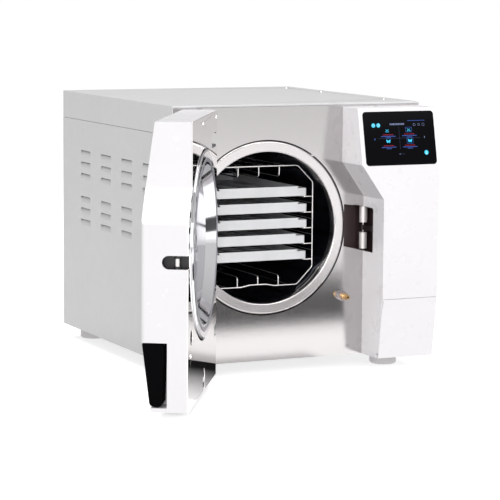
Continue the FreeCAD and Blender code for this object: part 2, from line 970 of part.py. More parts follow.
def make_service_bay():
    """What is behind the flap: a plate with two drain valves and the air filter."""
    rod = new_body("flap_rod")
    pad(rod, "YZ", [circle(*FLAP_AXIS, ROD_RADIUS)], 125.5, 217.5)
    plate = new_body("service_plate")
    outline = rectangle(left_low + wall + 0.3, wall + 0.3, half_width - wall - 0.3, 98)
    pad(plate, "XZ", [outline, circle(184, 46, 5.1), circle(204, 46, 5.1)], -22, -20)
    valves = new_body("drain_valves")
    for x in (184, 204):
        section = polygon(
            (-46, 2.5),
            (-46, 5),
            (-38, 5),
            (-38, 9),
            (-26, 9),
            (-26, 7),
            (-22, 7),
            (-22, 5),
            (10, 5),
            (10, 2.5),
        )
        turn(valves, "Y", (x, 46), [section])
    air_filter = new_body("air_filter")
    section = polygon(
        (-50, 0),
        (-50, 4),
        (-44, 4),
        (-42, 20),
        (-40, 20),
        (-40, 22),
        (-30, 22),
        (-30, 20),
        (-26, 8),
        (-22, 8),
        (-22, 0),
    )
    turn(air_filter, "Y", (150, 58), [section])


make_control_housing()
make_on_slope("screen_glass", rounded(*GLASS, GLASS_CORNER), -0.4, 2.2)
make_on_slope("display_module", rectangle(92, 5, 214, 84), 2.4, 12)
make_service_flap()
make_service_bay()


# ---------------------------------------------------------------------------------------------------------
# Door lock on the cabinet: a pocket, a shaft with two sleeves, and the hook between them

lock_centre = (dim("lock_x"), dim("lock_y"))
SHAFT_RADIUS = 2.5
SLEEVE_RADIUS = 6.7
SLEEVE_LOW = (175.3, 202)
SLEEVE_HIGH = (218.8, 245.4)
HOOK_LOW = 206
HOOK_HIGH = 214.5
HOOK_SWING = 23
POCKET_WALLS = (171.5, 246.5)


def make_lock_pocket():
    """A black box in the corner between the steel panel and the housing, with bosses that hold the shaft."""
    body = new_body("lock_pocket")
    pad(body, "XZ", [rectangle(84, 163, POCKET_RIGHT, 256)], steel, 24)
    pad(body, "XZ", [rectangle(123.2, POCKET_LOW, POCKET_RIGHT, POCKET_HIGH)], -40, steel)
    cut(body, "XZ", [circle(chamber_x, chamber_z, dim("flange_radius") + 0.4)], steel, 24)
    low, high = POCKET_WALLS
    tapered = polygon((84, 180.5), (136, low), (136, high), (84, 251))
    cut(body, "XZ", [tapered], steel, 12)
    cut(body, "XZ", [rectangle(112, low, 136, high)], steel, 20)
    cut(body, "XZ", [rectangle(123, low, 136, high)], -36.5, steel)
    pad(body, "XY", [circle(*lock_centre, 4.8)], low, SLEEVE_LOW[0] - 0.4)
    pad(body, "XY", [circle(*lock_centre, 4.8)], SLEEVE_HIGH[1] + 0.3, high)
    cut(body, "XY", [circle(*lock_centre, SHAFT_RADIUS + 0.1)], 163, 256)


def make_lock_shaft():
    """The shaft, and the sleeves over and under the hook."""
    body = new_body("lock_shaft")
    pad(body, "XY", [circle(*lock_centre, SHAFT_RADIUS)], 165, 254)
    sleeves = new_body("lock_sleeves")
    for low, high in (SLEEVE_LOW, SLEEVE_HIGH):
        ring = [circle(*lock_centre, SLEEVE_RADIUS), circle(*lock_centre, SHAFT_RADIUS + 0.02)]
        pad(sleeves, "XY", ring, low, high)


def make_lock_hook():
    """The claw that reaches into the door's slot, drawn engaged and then swung back into its pocket."""
    body = new_body("lock_hook")
    shaft = dim("lock_x")
    back = dim("lock_y")
    claw = polygon(
        (4.5, -1),
        (4.5, -12),
        (-4.5, -31),
        (-5.5, -35.8),
        (-17, -35.8),
        (-17.5, -33),
        (-10.4, -33),
        (-10.4, -26),
        (-4.5, -8),
        (-4.5, -1),
    )
    pad(body, "XY", [claw], HOOK_LOW, HOOK_HIGH)
    pad(body, "XY", [circle(0, 0, 5.2)], HOOK_LOW, HOOK_HIGH)
    cut(body, "XY", [circle(0, 0, SHAFT_RADIUS + RUNNING_FIT)], HOOK_LOW, HOOK_HIGH)
    body.Placement.Rotation = FreeCAD.Rotation(FreeCAD.Vector(0, 0, 1), HOOK_SWING)
    bind(body, "Placement.Base.x", shaft)
    bind(body, "Placement.Base.y", back - depth / 2)


def make_lock_actuator():
    """The small geared motor that swings the hook."""
    body = new_body("lock_actuator")
    pad(body, "XZ", [rectangle(POCKET_RIGHT + 0.3, 182, 172, 236)], -38, -6)
    pad(body, "XZ", [circle(163, 209, 11)], -6, 20)


make_lock_pocket()
make_lock_shaft()
make_lock_hook()
make_lock_actuator()


# ---------------------------------------------------------------------------------------------------------
# Works inside the casing

ROCKER_PIVOT = 484
ROCKER_SWING = 8


def make_box(name, x0, y0, z0, x1, y1, z1):
    body = new_body(name)
    pad(body, "XY", [rectangle(x0, y0, x1, y1)], z0, z1)
    return body


def make_steam_generator():
    body = new_body("steam_generator")
    section = polygon(
        (37, floor_top),
        (46, floor_top),
        (46, 8),
        (40, 8),
        (40, 176),
        (46, 176),
        (46, 184),
        (8, 184),
        (8, 200),
        (5, 200),
        (5, 181),
        (37, 181),
    )
    turn(body, "Z", (164, 401), [section])


def make_vacuum_pump():
    """The pump's head, with its two hose spigots, and its motor lying on a foot."""
    body = make_box("vacuum_pump", 126, 296, 8, 194, 350, 80)
    pad(body, "XY", [circle(142, 323, 6), circle(178, 323, 6)], 80, 98)
    pad(body, "XY", [rectangle(130, 300, 190, 346)], floor_top, 8)
    pad(body, "XZ", [circle(160, 45, 34)], 186, 296)
    pad(body, "XY", [rectangle(138, 200, 182, 280)], floor_top, 30)


def make_pump_and_valves():
    """The feed pump, and beside it four solenoid valves on a shared block with two legs."""
    body = make_box("pump_and_valves", 112, 100, floor_top, 150, 142, 40)
    pad(body, "XY", [circle(131, 121, 15)], 40, 76)
    pad(body, "XY", [rectangle(110, 52, 212, 78)], 76, 100)
    for x in (112, 204):
        pad(body, "XY", [rectangle(x, 56, x + 6, 74)], floor_top, 76)
    coil = pad(body, "XY", [rectangle(114, 54, 134, 76)], 100, 132)
    repeat(body, coil, "X", 25, 4)


def make_water_tanks():
    """Two shallow tanks over the chamber, for clean and used water, each with its filler neck."""
    body = new_body("water_tanks")
    for x0, x1 in ((-212, 10), (18, 212)):
        pad(body, "XY", [rounded(x0, 70, x1, 440, 12)], 372, 407)
        pad(body, "XY", [circle((x0 + x1) / 2, 100, 12)], 407, 412)


def make_condenser():
    """A finned block in front of the fan."""
    x, z = FAN_CENTRE
    body = new_body("condenser")
    for side in (-1, 1):
        edge = sorted((x + side * 60, x + side * 57))
        pad(body, "XY", [rectangle(edge[0], 425, edge[1], 455)], z - 62, z + 62)
    fin = pad(body, "XY", [rectangle(x - 57, 427, x + 57, 453)], z - 58, z - 57)
    repeat(body, fin, "Z", 8, 15)
    tubes = [circle(y, z + level, 3) for y in (433, 447) for level in (-40, -16, 8, 32)]
    pad(body, "YZ", tubes, x - 57, x + 57)


def make_fan():
    x, z = FAN_CENTRE
    frame = new_body("fan_frame")
    square = rounded(x - FAN_HALF, z - FAN_HALF, x + FAN_HALF, z + FAN_HALF, 6)
    pad(frame, "XZ", [square, circle(x, z, 56)], 462, 487)
    pad(frame, "XZ", [circle(x, z, 20)], 484, 487)
    for angle in (45, 135, 225, 315):
        c, s = math.cos(math.radians(angle)), math.sin(math.radians(angle))
        spoke = polygon(
            (x + 18 * c + 3 * s, z + 18 * s - 3 * c),
            (x + 58 * c + 3 * s, z + 58 * s - 3 * c),
            (x + 58 * c - 3 * s, z + 58 * s + 3 * c),
            (x + 18 * c - 3 * s, z + 18 * s + 3 * c),
        )
        pad(frame, "XZ", [spoke], 484, 487)
    pad(frame, "XZ", [circle(x, z, 3)], 466, 484)
    rotor = new_body("fan_rotor")
    pad(rotor, "XZ", [circle(x, z, 19)], 465, 483)
    for blade in range(7):
        angle = 2 * math.pi * blade / 7
        root, tip = angle, angle + 0.35
        c0, s0, c1, s1 = math.cos(root), math.sin(root), math.cos(tip), math.sin(tip)
        outline = polygon(
            (x + 17 * c0, z + 17 * s0),
            (x + 54 * c1, z + 54 * s1),
            (x + 54 * math.cos(tip + 0.28), z + 54 * math.sin(tip + 0.28)),
            (x + 17 * math.cos(root + 0.5), z + 17 * math.sin(root + 0.5)),
        )
        pad(rotor, "XZ", [outline], 472, 475)
    cut(rotor, "XZ", [circle(x, z, 3 + RUNNING_FIT)], 465, 483)


def make_electrics():
    """The power supply and, over it, the control board on its stand-offs."""
    board = make_box("power_and_control", 176, 150, 112, 220.3, 290, 176)
    pad(board, "YZ", [rectangle(160, 120, 280, 168)], 172, 176)
    pad(board, "XY", [rectangle(212, 60, 213.6, 260)], 200, 340)
    parts = [rectangle(y, z, y + 16, z + 14) for y in (72, 98, 124, 150) for z in (212, 240)]
    pad(board, "YZ", parts, 198, 212)
    pad(board, "YZ", [rectangle(190, 210, 246, 250), rectangle(90, 280, 200, 288)], 200, 212)
    pad(board, "YZ", [circle(y, z, 3) for y in (66, 254) for z in (206, 334)], 213.6, 220.3)


def make_mains_parts():
    """The inlet socket, two fuse holders and the rocker switch on the rear panel."""
    x, z = INLET_CENTRE
    inlet = new_body("mains_inlet")
    pad(inlet, "XZ", [rounded(x - 30, z - 17, x + 30, z + 17, 4)], depth, depth + 2.5)
    pad(inlet, "XZ", [rectangle(x - 24, z - 13.5, x + 24, z + 13.5)], 462, depth)
    cut(inlet, "XZ", [rounded(x - 15, z - 10, x + 15, z + 10, 3)], 470, depth + 3)
    blades = [rectangle(x + s - 1, z - 4, x + s + 1, z + 4) for s in (-8, 0, 8)]
    pad(inlet, "XZ", blades, 470, 488)
    for fuse_x, fuse_z in FUSE_CENTRES:
        section = polygon((466, 0), (494, 0), (494, 7), (493, 8), (490, 8), (490, 6.5), (466, 6.5))
        turn(inlet, "Y", (fuse_x, fuse_z), [section])
    x, z = SWITCH_CENTRE
    frame = new_body("switch_frame")
    frame_outline = rounded(x - 17, z - 14, x + 17, z + 14, 2)
    pad(frame, "XZ", [frame_outline, rectangle(x - 12, z - 9.6, x + 12, z + 9.6)], depth, depth + 1.5)
    body_outline = rectangle(x - 14, z - 11, x + 14, z + 11)
    pad(frame, "XZ", [body_outline, rectangle(x - 12, z - 9.6, x + 12, z + 9.6)], 474, depth)
    pad(frame, "XZ", [body_outline], 470, 474)
    pad(frame, "YZ", [circle(ROCKER_PIVOT, z, 1.5)], x - 12, x + 12)
    rocker = new_body("power_rocker")
    rocker_outline = polygon((0, -3.4), (7.2, -8.4), (6.2, 0), (7.2, 8.4), (0, 3.4), (-3, 2), (-3, -2))
    pad(rocker, "YZ", [rocker_outline], -11.6, 11.6)
    cut(rocker, "YZ", [circle(0, 0, 1.5 + RUNNING_FIT)], -12, 12)
    rocker.Placement.Rotation = FreeCAD.Rotation(FreeCAD.Vector(1, 0, 0), -ROCKER_SWING)
    bind(rocker, "Placement.Base.x", x)
    bind(rocker, "Placement.Base.y", ROCKER_PIVOT - dim("casing_depth") / 2)
    bind(rocker, "Placement.Base.z", dim("foot_height") + z)


make_steam_generator()
make_vacuum_pump()
make_pump_and_valves()
make_water_tanks()
make_condenser()
make_fan()
make_electrics()
make_mains_parts()


# ---------------------------------------------------------------------------------------------------------
# Hinge, between the cabinet and the door

def make_hinge_brackets():
    """Two plates behind the steel panel, each with an arm that comes out to the hinge axis."""
    body = new_body("hinge_brackets")
    x, y = hinge_centre
    for level in LUG_LEVELS:
        low, high = level - LUG_HALF, level + LUG_HALF
        plate_low = 30 if level < 200 else 320
        pad(body, "XZ", [rectangle(-215, plate_low, -165, plate_low + 70)], steel, 5)
        pad(body, "XY", [rectangle(x - LUG_HALF, y, x + LUG_HALF, 4)], low, high)
        pad(body, "XY", [circle(x, y, 9)], low, high)
        cut(body, "XY", [circle(x, y, PIN_RADIUS + 0.02)], low, high)


def make_hinge_pins():
    body = new_body("hinge_pins")
    for level in LUG_LEVELS:
        head = level + LUG_HALF + KNUCKLE_THICK + 2 * HINGE_GAP
        pad(body, "XY", [circle(*hinge_centre, PIN_RADIUS)], level - 24, head)
        pad(body, "XY", [circle(*hinge_centre, 7.5)], head, head + 3)


def make_door_hinge_arms():
    """Four knuckles on the door, one over and one under each bracket arm."""
    body = new_body("door_hinge_arms", "door")
    arm = polygon((0, -9), (30, -21), (60, -21), (60, -17), (45, -12), (8, 4), (0, 4))
    for level in LUG_LEVELS:
        above = level + LUG_HALF + HINGE_GAP
        below = level - LUG_HALF - HINGE_GAP - KNUCKLE_THICK
        for low in (below, above):
            high = low + KNUCKLE_THICK
            pad(body, "XY", [arm], low, high)
            pad(body, "XY", [circle(0, 0, 9)], low, high)
            cut(body, "XY", [circle(0, 0, PIN_RADIUS + RUNNING_FIT)], low, high)


make_hinge_brackets()
make_hinge_pins()
make_door_hinge_arms()


# ---------------------------------------------------------------------------------------------------------
# Door

face = dim("door_face")
seat = face - steel
edge = dim("door_back_edge")
reach_low = dim("door_reach_low")
reach_high = dim("door_reach_high")
fold_low = dim("door_fold_low")
fold_high = dim("door_fold_high")
door_top = dim("door_top")
door_foot = dim("door_foot")
bend_top = dim("door_bend_top")
bend_foot = dim("door_bend_foot")
thick = dim("door_thick")
thick_top = dim("door_thick_top")
thick_foot = dim("door_thick_foot")
shell = dim("door_wall")
disc_centre = (dim("chamber_x") - dim("hinge_x"), dim("chamber_z"))

CORNER_SWEEP = 30.2
OUTER_CORNER = 5
FOLD_SHIFT = 1.04
DISC_GAP = 2.5
CATCH = (290.2, 201, 221)
CATCH_ROUND = 9.9
CATCH_BACK = -12.5
CATCH_PIN = (300.2, 9.2, 3)
PIN_BOSSES = ((201, 205), (216.5, 221))
TOP_PLATE_SCREWS = ((149.8, 401), (-6.2, 401))
LOW_PLATE_SCREWS = ((298, 2), (279, 70))
PLATE_SCREWS = TOP_PLATE_SCREWS + LOW_PLATE_SCREWS
NOTCH = (272, -3, 93)
NOTCH_DEEP = -4.6
CHASSIS = (-24, -21)


def door_side(name, inset):
    """The door's section from the side: thick in the middle, thinner at the top and the foot."""
    outline = polygon(
        (seat, door_foot + inset),
        (seat, door_top - inset),
        (face - thick_top + inset, door_top - inset),
        (face - thick + inset, bend_top),
        (face - thick + inset, bend_foot),
        (face - 57 + inset, 2),
        (face - thick_foot + inset, door_foot + inset),
    )
    return prism(name, "YZ", [outline], -edge - 1, reach_low + 1)


def door_front(name, inset):
    """The door from the front: a rectangle that narrows above the fold."""
    drop = FOLD_SHIFT if inset.value else 0
    outline = polygon(
        (inset - edge, door_foot + inset),
        (reach_low - inset, door_foot + inset),
        (reach_low - inset, fold_low - drop),
        (reach_high - inset, fold_high - drop),
        (reach_high - inset, door_top - inset),
        (inset - edge, door_top - inset),
    )
    return prism(name, "XZ", [outline], face - thick - 1, face)


def door_plan(name, inset):
    """The door from above: round about the hinge axis where it turns past the steel panel, then cut off
    flat along the line that lies on the panel when the door is fully open."""
    sweep = CORNER_SWEEP - inset.value
    on_seat = math.sqrt(sweep**2 - seat.value**2)
    r = OUTER_CORNER - inset.value
    outer = face - thick + inset
    open_angle = math.radians(DIMENSIONS["door_open_angle"])
    meet_x, meet_y = -sweep * math.sin(open_angle), sweep * math.cos(open_angle)
    slope = -math.sin(open_angle) / math.cos(open_angle)
    run = (meet_y - outer.value) / slope
    outline = polygon(
        (meet_x + run, outer),
        (reach_low - inset - r, outer, r),
        (reach_low - inset, outer + r),
        (reach_low - inset, seat),
        (-on_seat, seat, sweep),
        (meet_x, meet_y),
    )
    return prism(name, "XY", [outline], door_foot - 1, door_top + 1)


def door_solid(name, inset):
    parts = [
        door_side(f"{name}_side", inset),
        door_front(f"{name}_front", inset),
        door_plan(f"{name}_plan", inset),
    ]
    return common(name, parts)


def catch_outline():
    """The slot for the hook, seen from the door's free edge: open at the steel plate, round at its end."""
    _, low, high = CATCH
    return rounded(CATCH_BACK, low, face + 12, high, CATCH_ROUND)


def make_door_cover():
    """The outer shell with its hinge slots, its catch slot and the notch that takes the handle."""
    outer = door_solid("cover_outer", as_size(0))
    inner = door_solid("cover_inner", shell)
    x, low, high = NOTCH
    grip_outline = rectangle(x - 3, door_foot, reach_low, high + 3)
    grip_block = prism("grip_block", "XZ", [grip_outline], -50, NOTCH_DEEP + 3)
    posts = [
        prism(f"post_{i}", "XZ", [circle(px, pz, 5)], -50, CHASSIS[0])
        for i, (px, pz) in enumerate(((30, 60), (240, 110), (30, 380), (240, 380)))
    ]
    bosses = [
        prism(f"top_boss_{i}", "XZ", [rectangle(px - 5, pz - 5, px + 5, door_top - 1)], 12, seat)
        for i, (px, pz) in enumerate(TOP_PLATE_SCREWS)
    ]
    bosses += [
        prism(f"low_boss_{i}", "XZ", [rectangle(px - 5, pz - 5, px + 5, pz + 5)], NOTCH_DEEP, seat)
        for i, (px, pz) in enumerate(LOW_PLATE_SCREWS)
    ]
    extras = common("cover_extras", [fuse("cover_blocks", [grip_block, *posts, *bosses]), outer])
    hollow = subtract("cover_hollow", outer, [inner])
    whole = fuse("cover_whole", [hollow, extras])
    notch = prism("grip_notch", "XZ", [rectangle(x, low, reach_low + 1, high)], -50, NOTCH_DEEP)
    catch = prism("catch_slot", "YZ", [catch_outline()], CATCH[0], reach_low + 1)
    foot_outline = rectangle(20, -18, 250, 18)
    foot_opening = prism("foot_opening", "XY", [foot_outline], door_foot - 1, door_foot + shell + 1)
    slots = [
        prism(f"lug_slot_{i}", "XZ", [rectangle(-edge - 1, level - 8.5, 10, level + 8.5)], -28, face)
        for i, level in enumerate(LUG_LEVELS)
    ]
    shanks = [
        prism(f"shank_hole_{i}", "XZ", [circle(px, pz, SCREW_RADIUS)], 16, face)
        for i, (px, pz) in enumerate(PLATE_SCREWS)
    ]
    finished(subtract("door_cover", whole, [notch, catch, foot_opening, *slots, *shanks]), "door")


def make_door_inner_plate():
    """The steel plate on the chamber side: cut out for the disc, the hinges, the hook and the nipple."""
    body = new_body("door_inner_plate", "door")
    left = -15.1
    outline = polygon(
        (left, door_foot),
        (reach_low, door_foot),
        (reach_low, fold_low),
        (reach_high, fold_high),
        (reach_high, door_top),
        (left, door_top),
    )
    holes = [circle(*disc_centre, dim("disc_radius") + DISC_GAP)]
    holes.append(circle(NIPPLE_X - dim("hinge_x"), NIPPLE_Z - 2, 11.5))
    holes += [circle(px, pz, SCREW_RADIUS) for px, pz in PLATE_SCREWS]
    pad(body, "XZ", [outline, *holes], seat, face)
    low_lug = LUG_LEVELS[0]
    hinge_window = polygon(
        (left - 1, 356),
        (44, 356),
        (48, 360),
        (48, 374.5),
        (44, 378.5),
        (left - 1, 378.5),
    )
    foot_slit = rounded(119, door_foot - 20, 141, 26, 10.9)
    catch_left, catch_low, catch_high = CATCH
    edge_cuts = [
        rectangle(left - 1, low_lug - 8.5, 9.5, low_lug + 8.5),
        rectangle(catch_left, catch_low, reach_low + 1, catch_high),
        hinge_window,
        foot_slit,
    ]
    cut(body, "XZ", edge_cuts, seat, face)


def make_door_screws():
    body = new_body("door_screws", "door")
    for px, pz in PLATE_SCREWS:
        section = polygon(
            (16.5, 0),
            (face + 1.4, 0),
            (face + 1.4, 2),
            (face + 0.9, SCREW_HEAD),
            (face, SCREW_HEAD),
            (face, SCREW_RADIUS - 0.1),
            (16.5, SCREW_RADIUS - 0.1),
        )
        turn(body, "Y", (px, pz), [section])


def make_door_disc():
    """The dished pressure disc and its seal."""
    rim = dim("disc_radius")
    disc = new_body("door_disc", "door")
    section = polygon(
        (face + 3, rim - 2.5),
        (face + 3, 132),
        (face + 0.5, 132),
        (face + 0.5, 125.5),
        (face + 3, 125.5),
        (face + 3, 122),
        (14, 108),
        (13, 0),
        (10, 0),
        (11, 110),
        (23, 124),
        (23, 136),
        (face, 136),
        (face, rim),
        (face + 1.2, rim),
    )
    turn(disc, "Y", disc_centre, [section])
    seal = new_body("door_gasket", "door")
    ring = polygon(
        (face + 0.5, 125.8),
        (face + 3.4, 125.8),
        (face + 4, 127),
        (face + 4, 130.5),
        (face + 3.4, 131.7),
        (face + 0.5, 131.7),
    )
    turn(seal, "Y", disc_centre, [ring])


def make_door_chassis():
    """The plate behind the disc, with the welded stud that carries the disc."""
    body = new_body("door_chassis", "door")
    outline = polygon((12, 30), (254, 30), (254, 310), (254, 400), (12, 400))
    pad(body, "XZ", [outline], *CHASSIS)
    pad(body, "XZ", [circle(*disc_centre, 12)], CHASSIS[1], 10)


def make_catch():
    """A black pocket in the door's free edge with two bosses, and between them the pin for the hook."""
    left, low, high = CATCH
    liner = new_body("catch_liner", "door")
    wall_face = reach_low - shell
    pad(liner, "XZ", [rectangle(left - 2, low - 4, wall_face, high + 4)], CATCH_BACK - 2, seat)
    cut(liner, "YZ", [catch_outline()], left, wall_face)
    pin_x, pin_y, pin_radius = CATCH_PIN
    for boss_low, boss_high in PIN_BOSSES:
        pad(liner, "XY", [circle(pin_x, pin_y, 4.4)], boss_low, boss_high)
    cut(liner, "XY", [circle(pin_x, pin_y, pin_radius + 0.02)], low, high)
    pin = new_body("catch_pin", "door")
    pad(pin, "XY", [circle(*CATCH_PIN)], low, high)


def make_handle_insert():
    """The black grip in the notch, with a pocket for the fingers."""
    body = new_body("handle_insert", "door")
    outline = polygon(
        (-41.7, 91),
        (-31, 5, 6.2),
        (-25.6, -1),
        (-17.4, -1, 6.2),
        (-11.6, 5),
        (-9.4, 91),
    )
    pad(body, "YZ", [outline], NOTCH[0], reach_low - 2)
    cut(body, "XZ", [rectangle(279, 10, 299, 84)], -45, -24)


make_door_cover()
make_door_inner_plate()
make_door_screws()
make_door_disc()
make_door_chassis()
make_catch()
make_handle_insert()


# ---------------------------------------------------------------------------------------------------------
# Rack and trays

half = dim("rack_half")
corner = dim("rack_corner")
wire = dim("wire_radius")
rack_front = dim("rack_front")
rack_back = dim("rack_back")
rack_z = chamber_z - 0.8
inset = half - dim("rail_inset")
BEND = 5
WELD = 0.15
TRAY_SHIFTS = (0, 0.8, 1.2, -2.5, 0)


def tray_level(number):
    """The underside of a tray, counted from the top one."""
    return dim("tray_lowest") + dim("tray_pitch") * (len(TRAY_SHIFTS) - number)


def make_rack_frame(name, y):
    """An eight-sided hoop of wire, lifted a little in the middle of its foot."""
    points = [
        (chamber_x - half + corner, rack_z - half),
        (chamber_x - 30, rack_z - half),
        (chamber_x - 14, rack_z - half + 3),
        (chamber_x + 14, rack_z - half + 3),
        (chamber_x + 30, rack_z - half),
        (chamber_x + half - corner, rack_z - half),
        (chamber_x + half, rack_z - half + corner),
        (chamber_x + half, rack_z + half - corner),
        (chamber_x + half - corner, rack_z + half),
        (chamber_x - half + corner, rack_z + half),
        (chamber_x - half, rack_z + half - corner),
        (chamber_x - half, rack_z - half + corner),
    ]
    return bent_wire(name, "XZ", bent(points, 8, closed=True), y, wire, closed=True)


def make_side_rails():
    """Bent wires that the trays slide on, and straight stays between them."""
    wires = []
    near = half - wire - WELD
    levels = [tray_level(number) - wire - 0.1 for number in range(1, 6)]
    for side in (-1, 1):
        for i, level in enumerate(levels):
            path = [
                (chamber_x + near * side, rack_front),
                (chamber_x + inset * side, rack_front),
                (chamber_x + inset * side, rack_back),
                (chamber_x + near * side, rack_back),
            ]
            name = f"side_rail_{i}_{'left' if side < 0 else 'right'}"
            wires.append(bent_wire(name, "XY", bent(path, BEND), level, wire))
        stays = [circle(chamber_x + half * side, level - 11.4, wire) for level in levels[:-1]]
        name = f"side_stays_{'left' if side < 0 else 'right'}"
        wires.append(prism(name, "XZ", stays, rack_front + wire + WELD, rack_back - wire - WELD))
    compound("rack_side_rails", wires)


def make_cross_rails(name, side):
    """The same over or under the trays, so that the rack can be used on its side."""
    wires = []
    near = half - wire - WELD
    for i, shift in enumerate((-37, 0, 37)):
        lift = 3 if side < 0 and shift == 0 else 0
        path = [
            (rack_front, rack_z + near * side + lift),
            (rack_front, rack_z + inset * side),
            (rack_back, rack_z + inset * side),
            (rack_back, rack_z + near * side + lift),
        ]
        wires.append(bent_wire(f"{name}_{i}", "YZ", bent(path, BEND), chamber_x + shift, wire))
    stays = [circle(chamber_x + shift, rack_z + half * side, wire) for shift in (-55.5, -18.5, 18.5, 55.5)]
    if side < 0:
        stays = [circle(chamber_x + shift, rack_z - half, wire) for shift in (-55.5, 55.5)]
    wires.append(prism(f"{name}_stays", "XZ", stays, rack_front + wire + WELD, rack_back - wire - WELD))
    return wires


def compound(name, shapes):
    """Several loose solids kept together as one sub-part."""
    group = doc.addObject("Part::Compound", name)
    group.Links = shapes
    finished(group)


def make_tray(number):
    """An open tray: a tall front lip that steps down at its ends, lower walls, and a slotted floor."""
    body = new_body(f"tray_{number}")
    low = tray_level(number)
    middle = chamber_x + TRAY_SHIFTS[number - 1]
    half_tray = dim("tray_width") / 2
    front = rack_front - 2
    back = front + dim("tray_depth")
    tray_top = low + dim("tray_height")
    skin = dim("tray_sheet")
    step = 3.3
    pad(body, "XY", [rounded(middle - half_tray, front, middle + half_tray, back, 3)], low, tray_top)
    hollow = rounded(middle - half_tray + skin, front + skin, middle + half_tray - skin, back - skin, 1.8)
    cut(body, "XY", [hollow], low + skin, tray_top)
    behind = rectangle(middle - half_tray - 1, front + skin, middle + half_tray + 1, back + 1)
    cut(body, "XY", [behind], tray_top - step, tray_top)
    ends = [
        polygon(
            (middle + (half_tray + 1) * side, tray_top - step),
            (middle + (half_tray + 1) * side, tray_top + 1),
            (middle + (half_tray - 15) * side, tray_top + 1),
            (middle + (half_tray - 15) * side, tray_top),
            (middle + (half_tray - 18) * side, tray_top - step),
        )
        for side in (-1, 1)
    ]
    cut(body, "XZ", ends, front, front + skin)
    slots = [rectangle(middle + x - 14, front + 30, middle + x + 14, front + 36) for x in (-54, -18, 18, 54)]
    row = cut(body, "XY", slots, low, low + skin)
    repeat(body, row, "Y", 24, 10)


rack_ends = (("front_frame", rack_front), ("back_frame", rack_back))
compound("rack_frames", [make_rack_frame(name, y) for name, y in rack_ends])
make_side_rails()
compound("rack_cross_rails", make_cross_rails("top_rails", 1) + make_cross_rails("bottom_rails", -1))
for number in range(1, 6):
    make_tray(number)


# ---------------------------------------------------------------------------------------------------------
# Checks and export

doc.recompute()
troubles = []
for thing in doc.Objects:
    if "Invalid" in thing.State or "Error" in thing.State:
        troubles.append(f"{thing.Name}: {thing.State}")
    if thing.TypeId == "PartDesign::Pocket":
        if thing.Shape.Volume > thing.BaseFeature.Shape.Volume - 0.01:
            troubles.append(f"{thing.Name} cuts nothing")
for piece in pieces:
    if piece.Shape.isNull() or not piece.Shape.isValid():
        troubles.append(f"{piece.Label} has no valid shape")
if troubles:
    raise SystemExit("\n".join(troubles))
for piece in pieces:
    piece.Shape.exportStep(f"parts/{piece.Label}.step")
print(len(pieces), "parts")
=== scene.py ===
import math

import bmesh
import bpy
from mathutils import Matrix, Vector


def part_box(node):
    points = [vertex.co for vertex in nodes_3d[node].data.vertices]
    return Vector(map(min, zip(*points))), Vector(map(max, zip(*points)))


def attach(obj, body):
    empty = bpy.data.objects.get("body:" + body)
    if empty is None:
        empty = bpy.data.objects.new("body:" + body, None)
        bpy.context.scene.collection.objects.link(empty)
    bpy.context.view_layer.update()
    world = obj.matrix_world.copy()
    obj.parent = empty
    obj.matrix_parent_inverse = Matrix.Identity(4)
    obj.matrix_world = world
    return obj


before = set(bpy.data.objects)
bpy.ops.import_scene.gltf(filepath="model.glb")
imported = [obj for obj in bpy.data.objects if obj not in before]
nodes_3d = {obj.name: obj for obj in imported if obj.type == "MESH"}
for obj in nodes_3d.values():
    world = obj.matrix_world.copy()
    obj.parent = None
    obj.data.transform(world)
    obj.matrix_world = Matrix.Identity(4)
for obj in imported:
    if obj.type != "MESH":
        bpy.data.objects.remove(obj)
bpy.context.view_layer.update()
scene = bpy.context.scene


# ---------------------------------------------------------------- camera

# Metres and radians; yaw turns from +Y towards +X, and the lens and sensor are in millimetres.
CAMERA_AT = Vector((-1.60112, -3.45086, 0.65369))
YAW, PITCH, ROLL = 0.4416, -0.1254, 0.0078
LENS = 159.58
SENSOR_WIDTH = 36
CLIP_END = 150


def make_camera():
    """The camera of the photo, aimed by yaw, pitch and roll."""
    ahead = Vector((math.sin(YAW) * math.cos(PITCH), math.cos(YAW) * math.cos(PITCH), math.sin(PITCH)))
    level_right = Vector((math.cos(YAW), -math.sin(YAW), 0))
    level_up = level_right.cross(ahead)
    right = math.cos(ROLL) * level_right + math.sin(ROLL) * level_up
    up = math.cos(ROLL) * level_up - math.sin(ROLL) * level_right
    data = bpy.data.cameras.new("camera")
    data.lens = LENS
    data.sensor_width = SENSOR_WIDTH
    data.clip_end = CLIP_END
    camera = bpy.data.objects.new("camera", data)
    scene.collection.objects.link(camera)
    turn = Matrix((right, up, -ahead)).transposed().to_4x4()
    camera.matrix_world = Matrix.Translation(CAMERA_AT) @ turn
    scene.camera = camera


make_camera()


# ---------------------------------------------------------------- material helpers

COAT_ROUGHNESS = 0.08
MIN_ROUGH = 0.03

# depths of surface relief, in metres
ORANGE_PEEL, SHEET_WAVES = 0.00012, 0.0002
BRUSH_LINES, POLISH_LINES, LATHE_RINGS = 0.00004, 0.00001, 0.00003
PLASTIC_GRAIN, RUBBER_GRAIN, BLANKET_GRAIN = 0.00006, 0.0001, 0.0008
BEAD_GRAIN, WEAVE_RELIEF, BORE_RELIEF = 0.00005, 0.00005, 0.0001


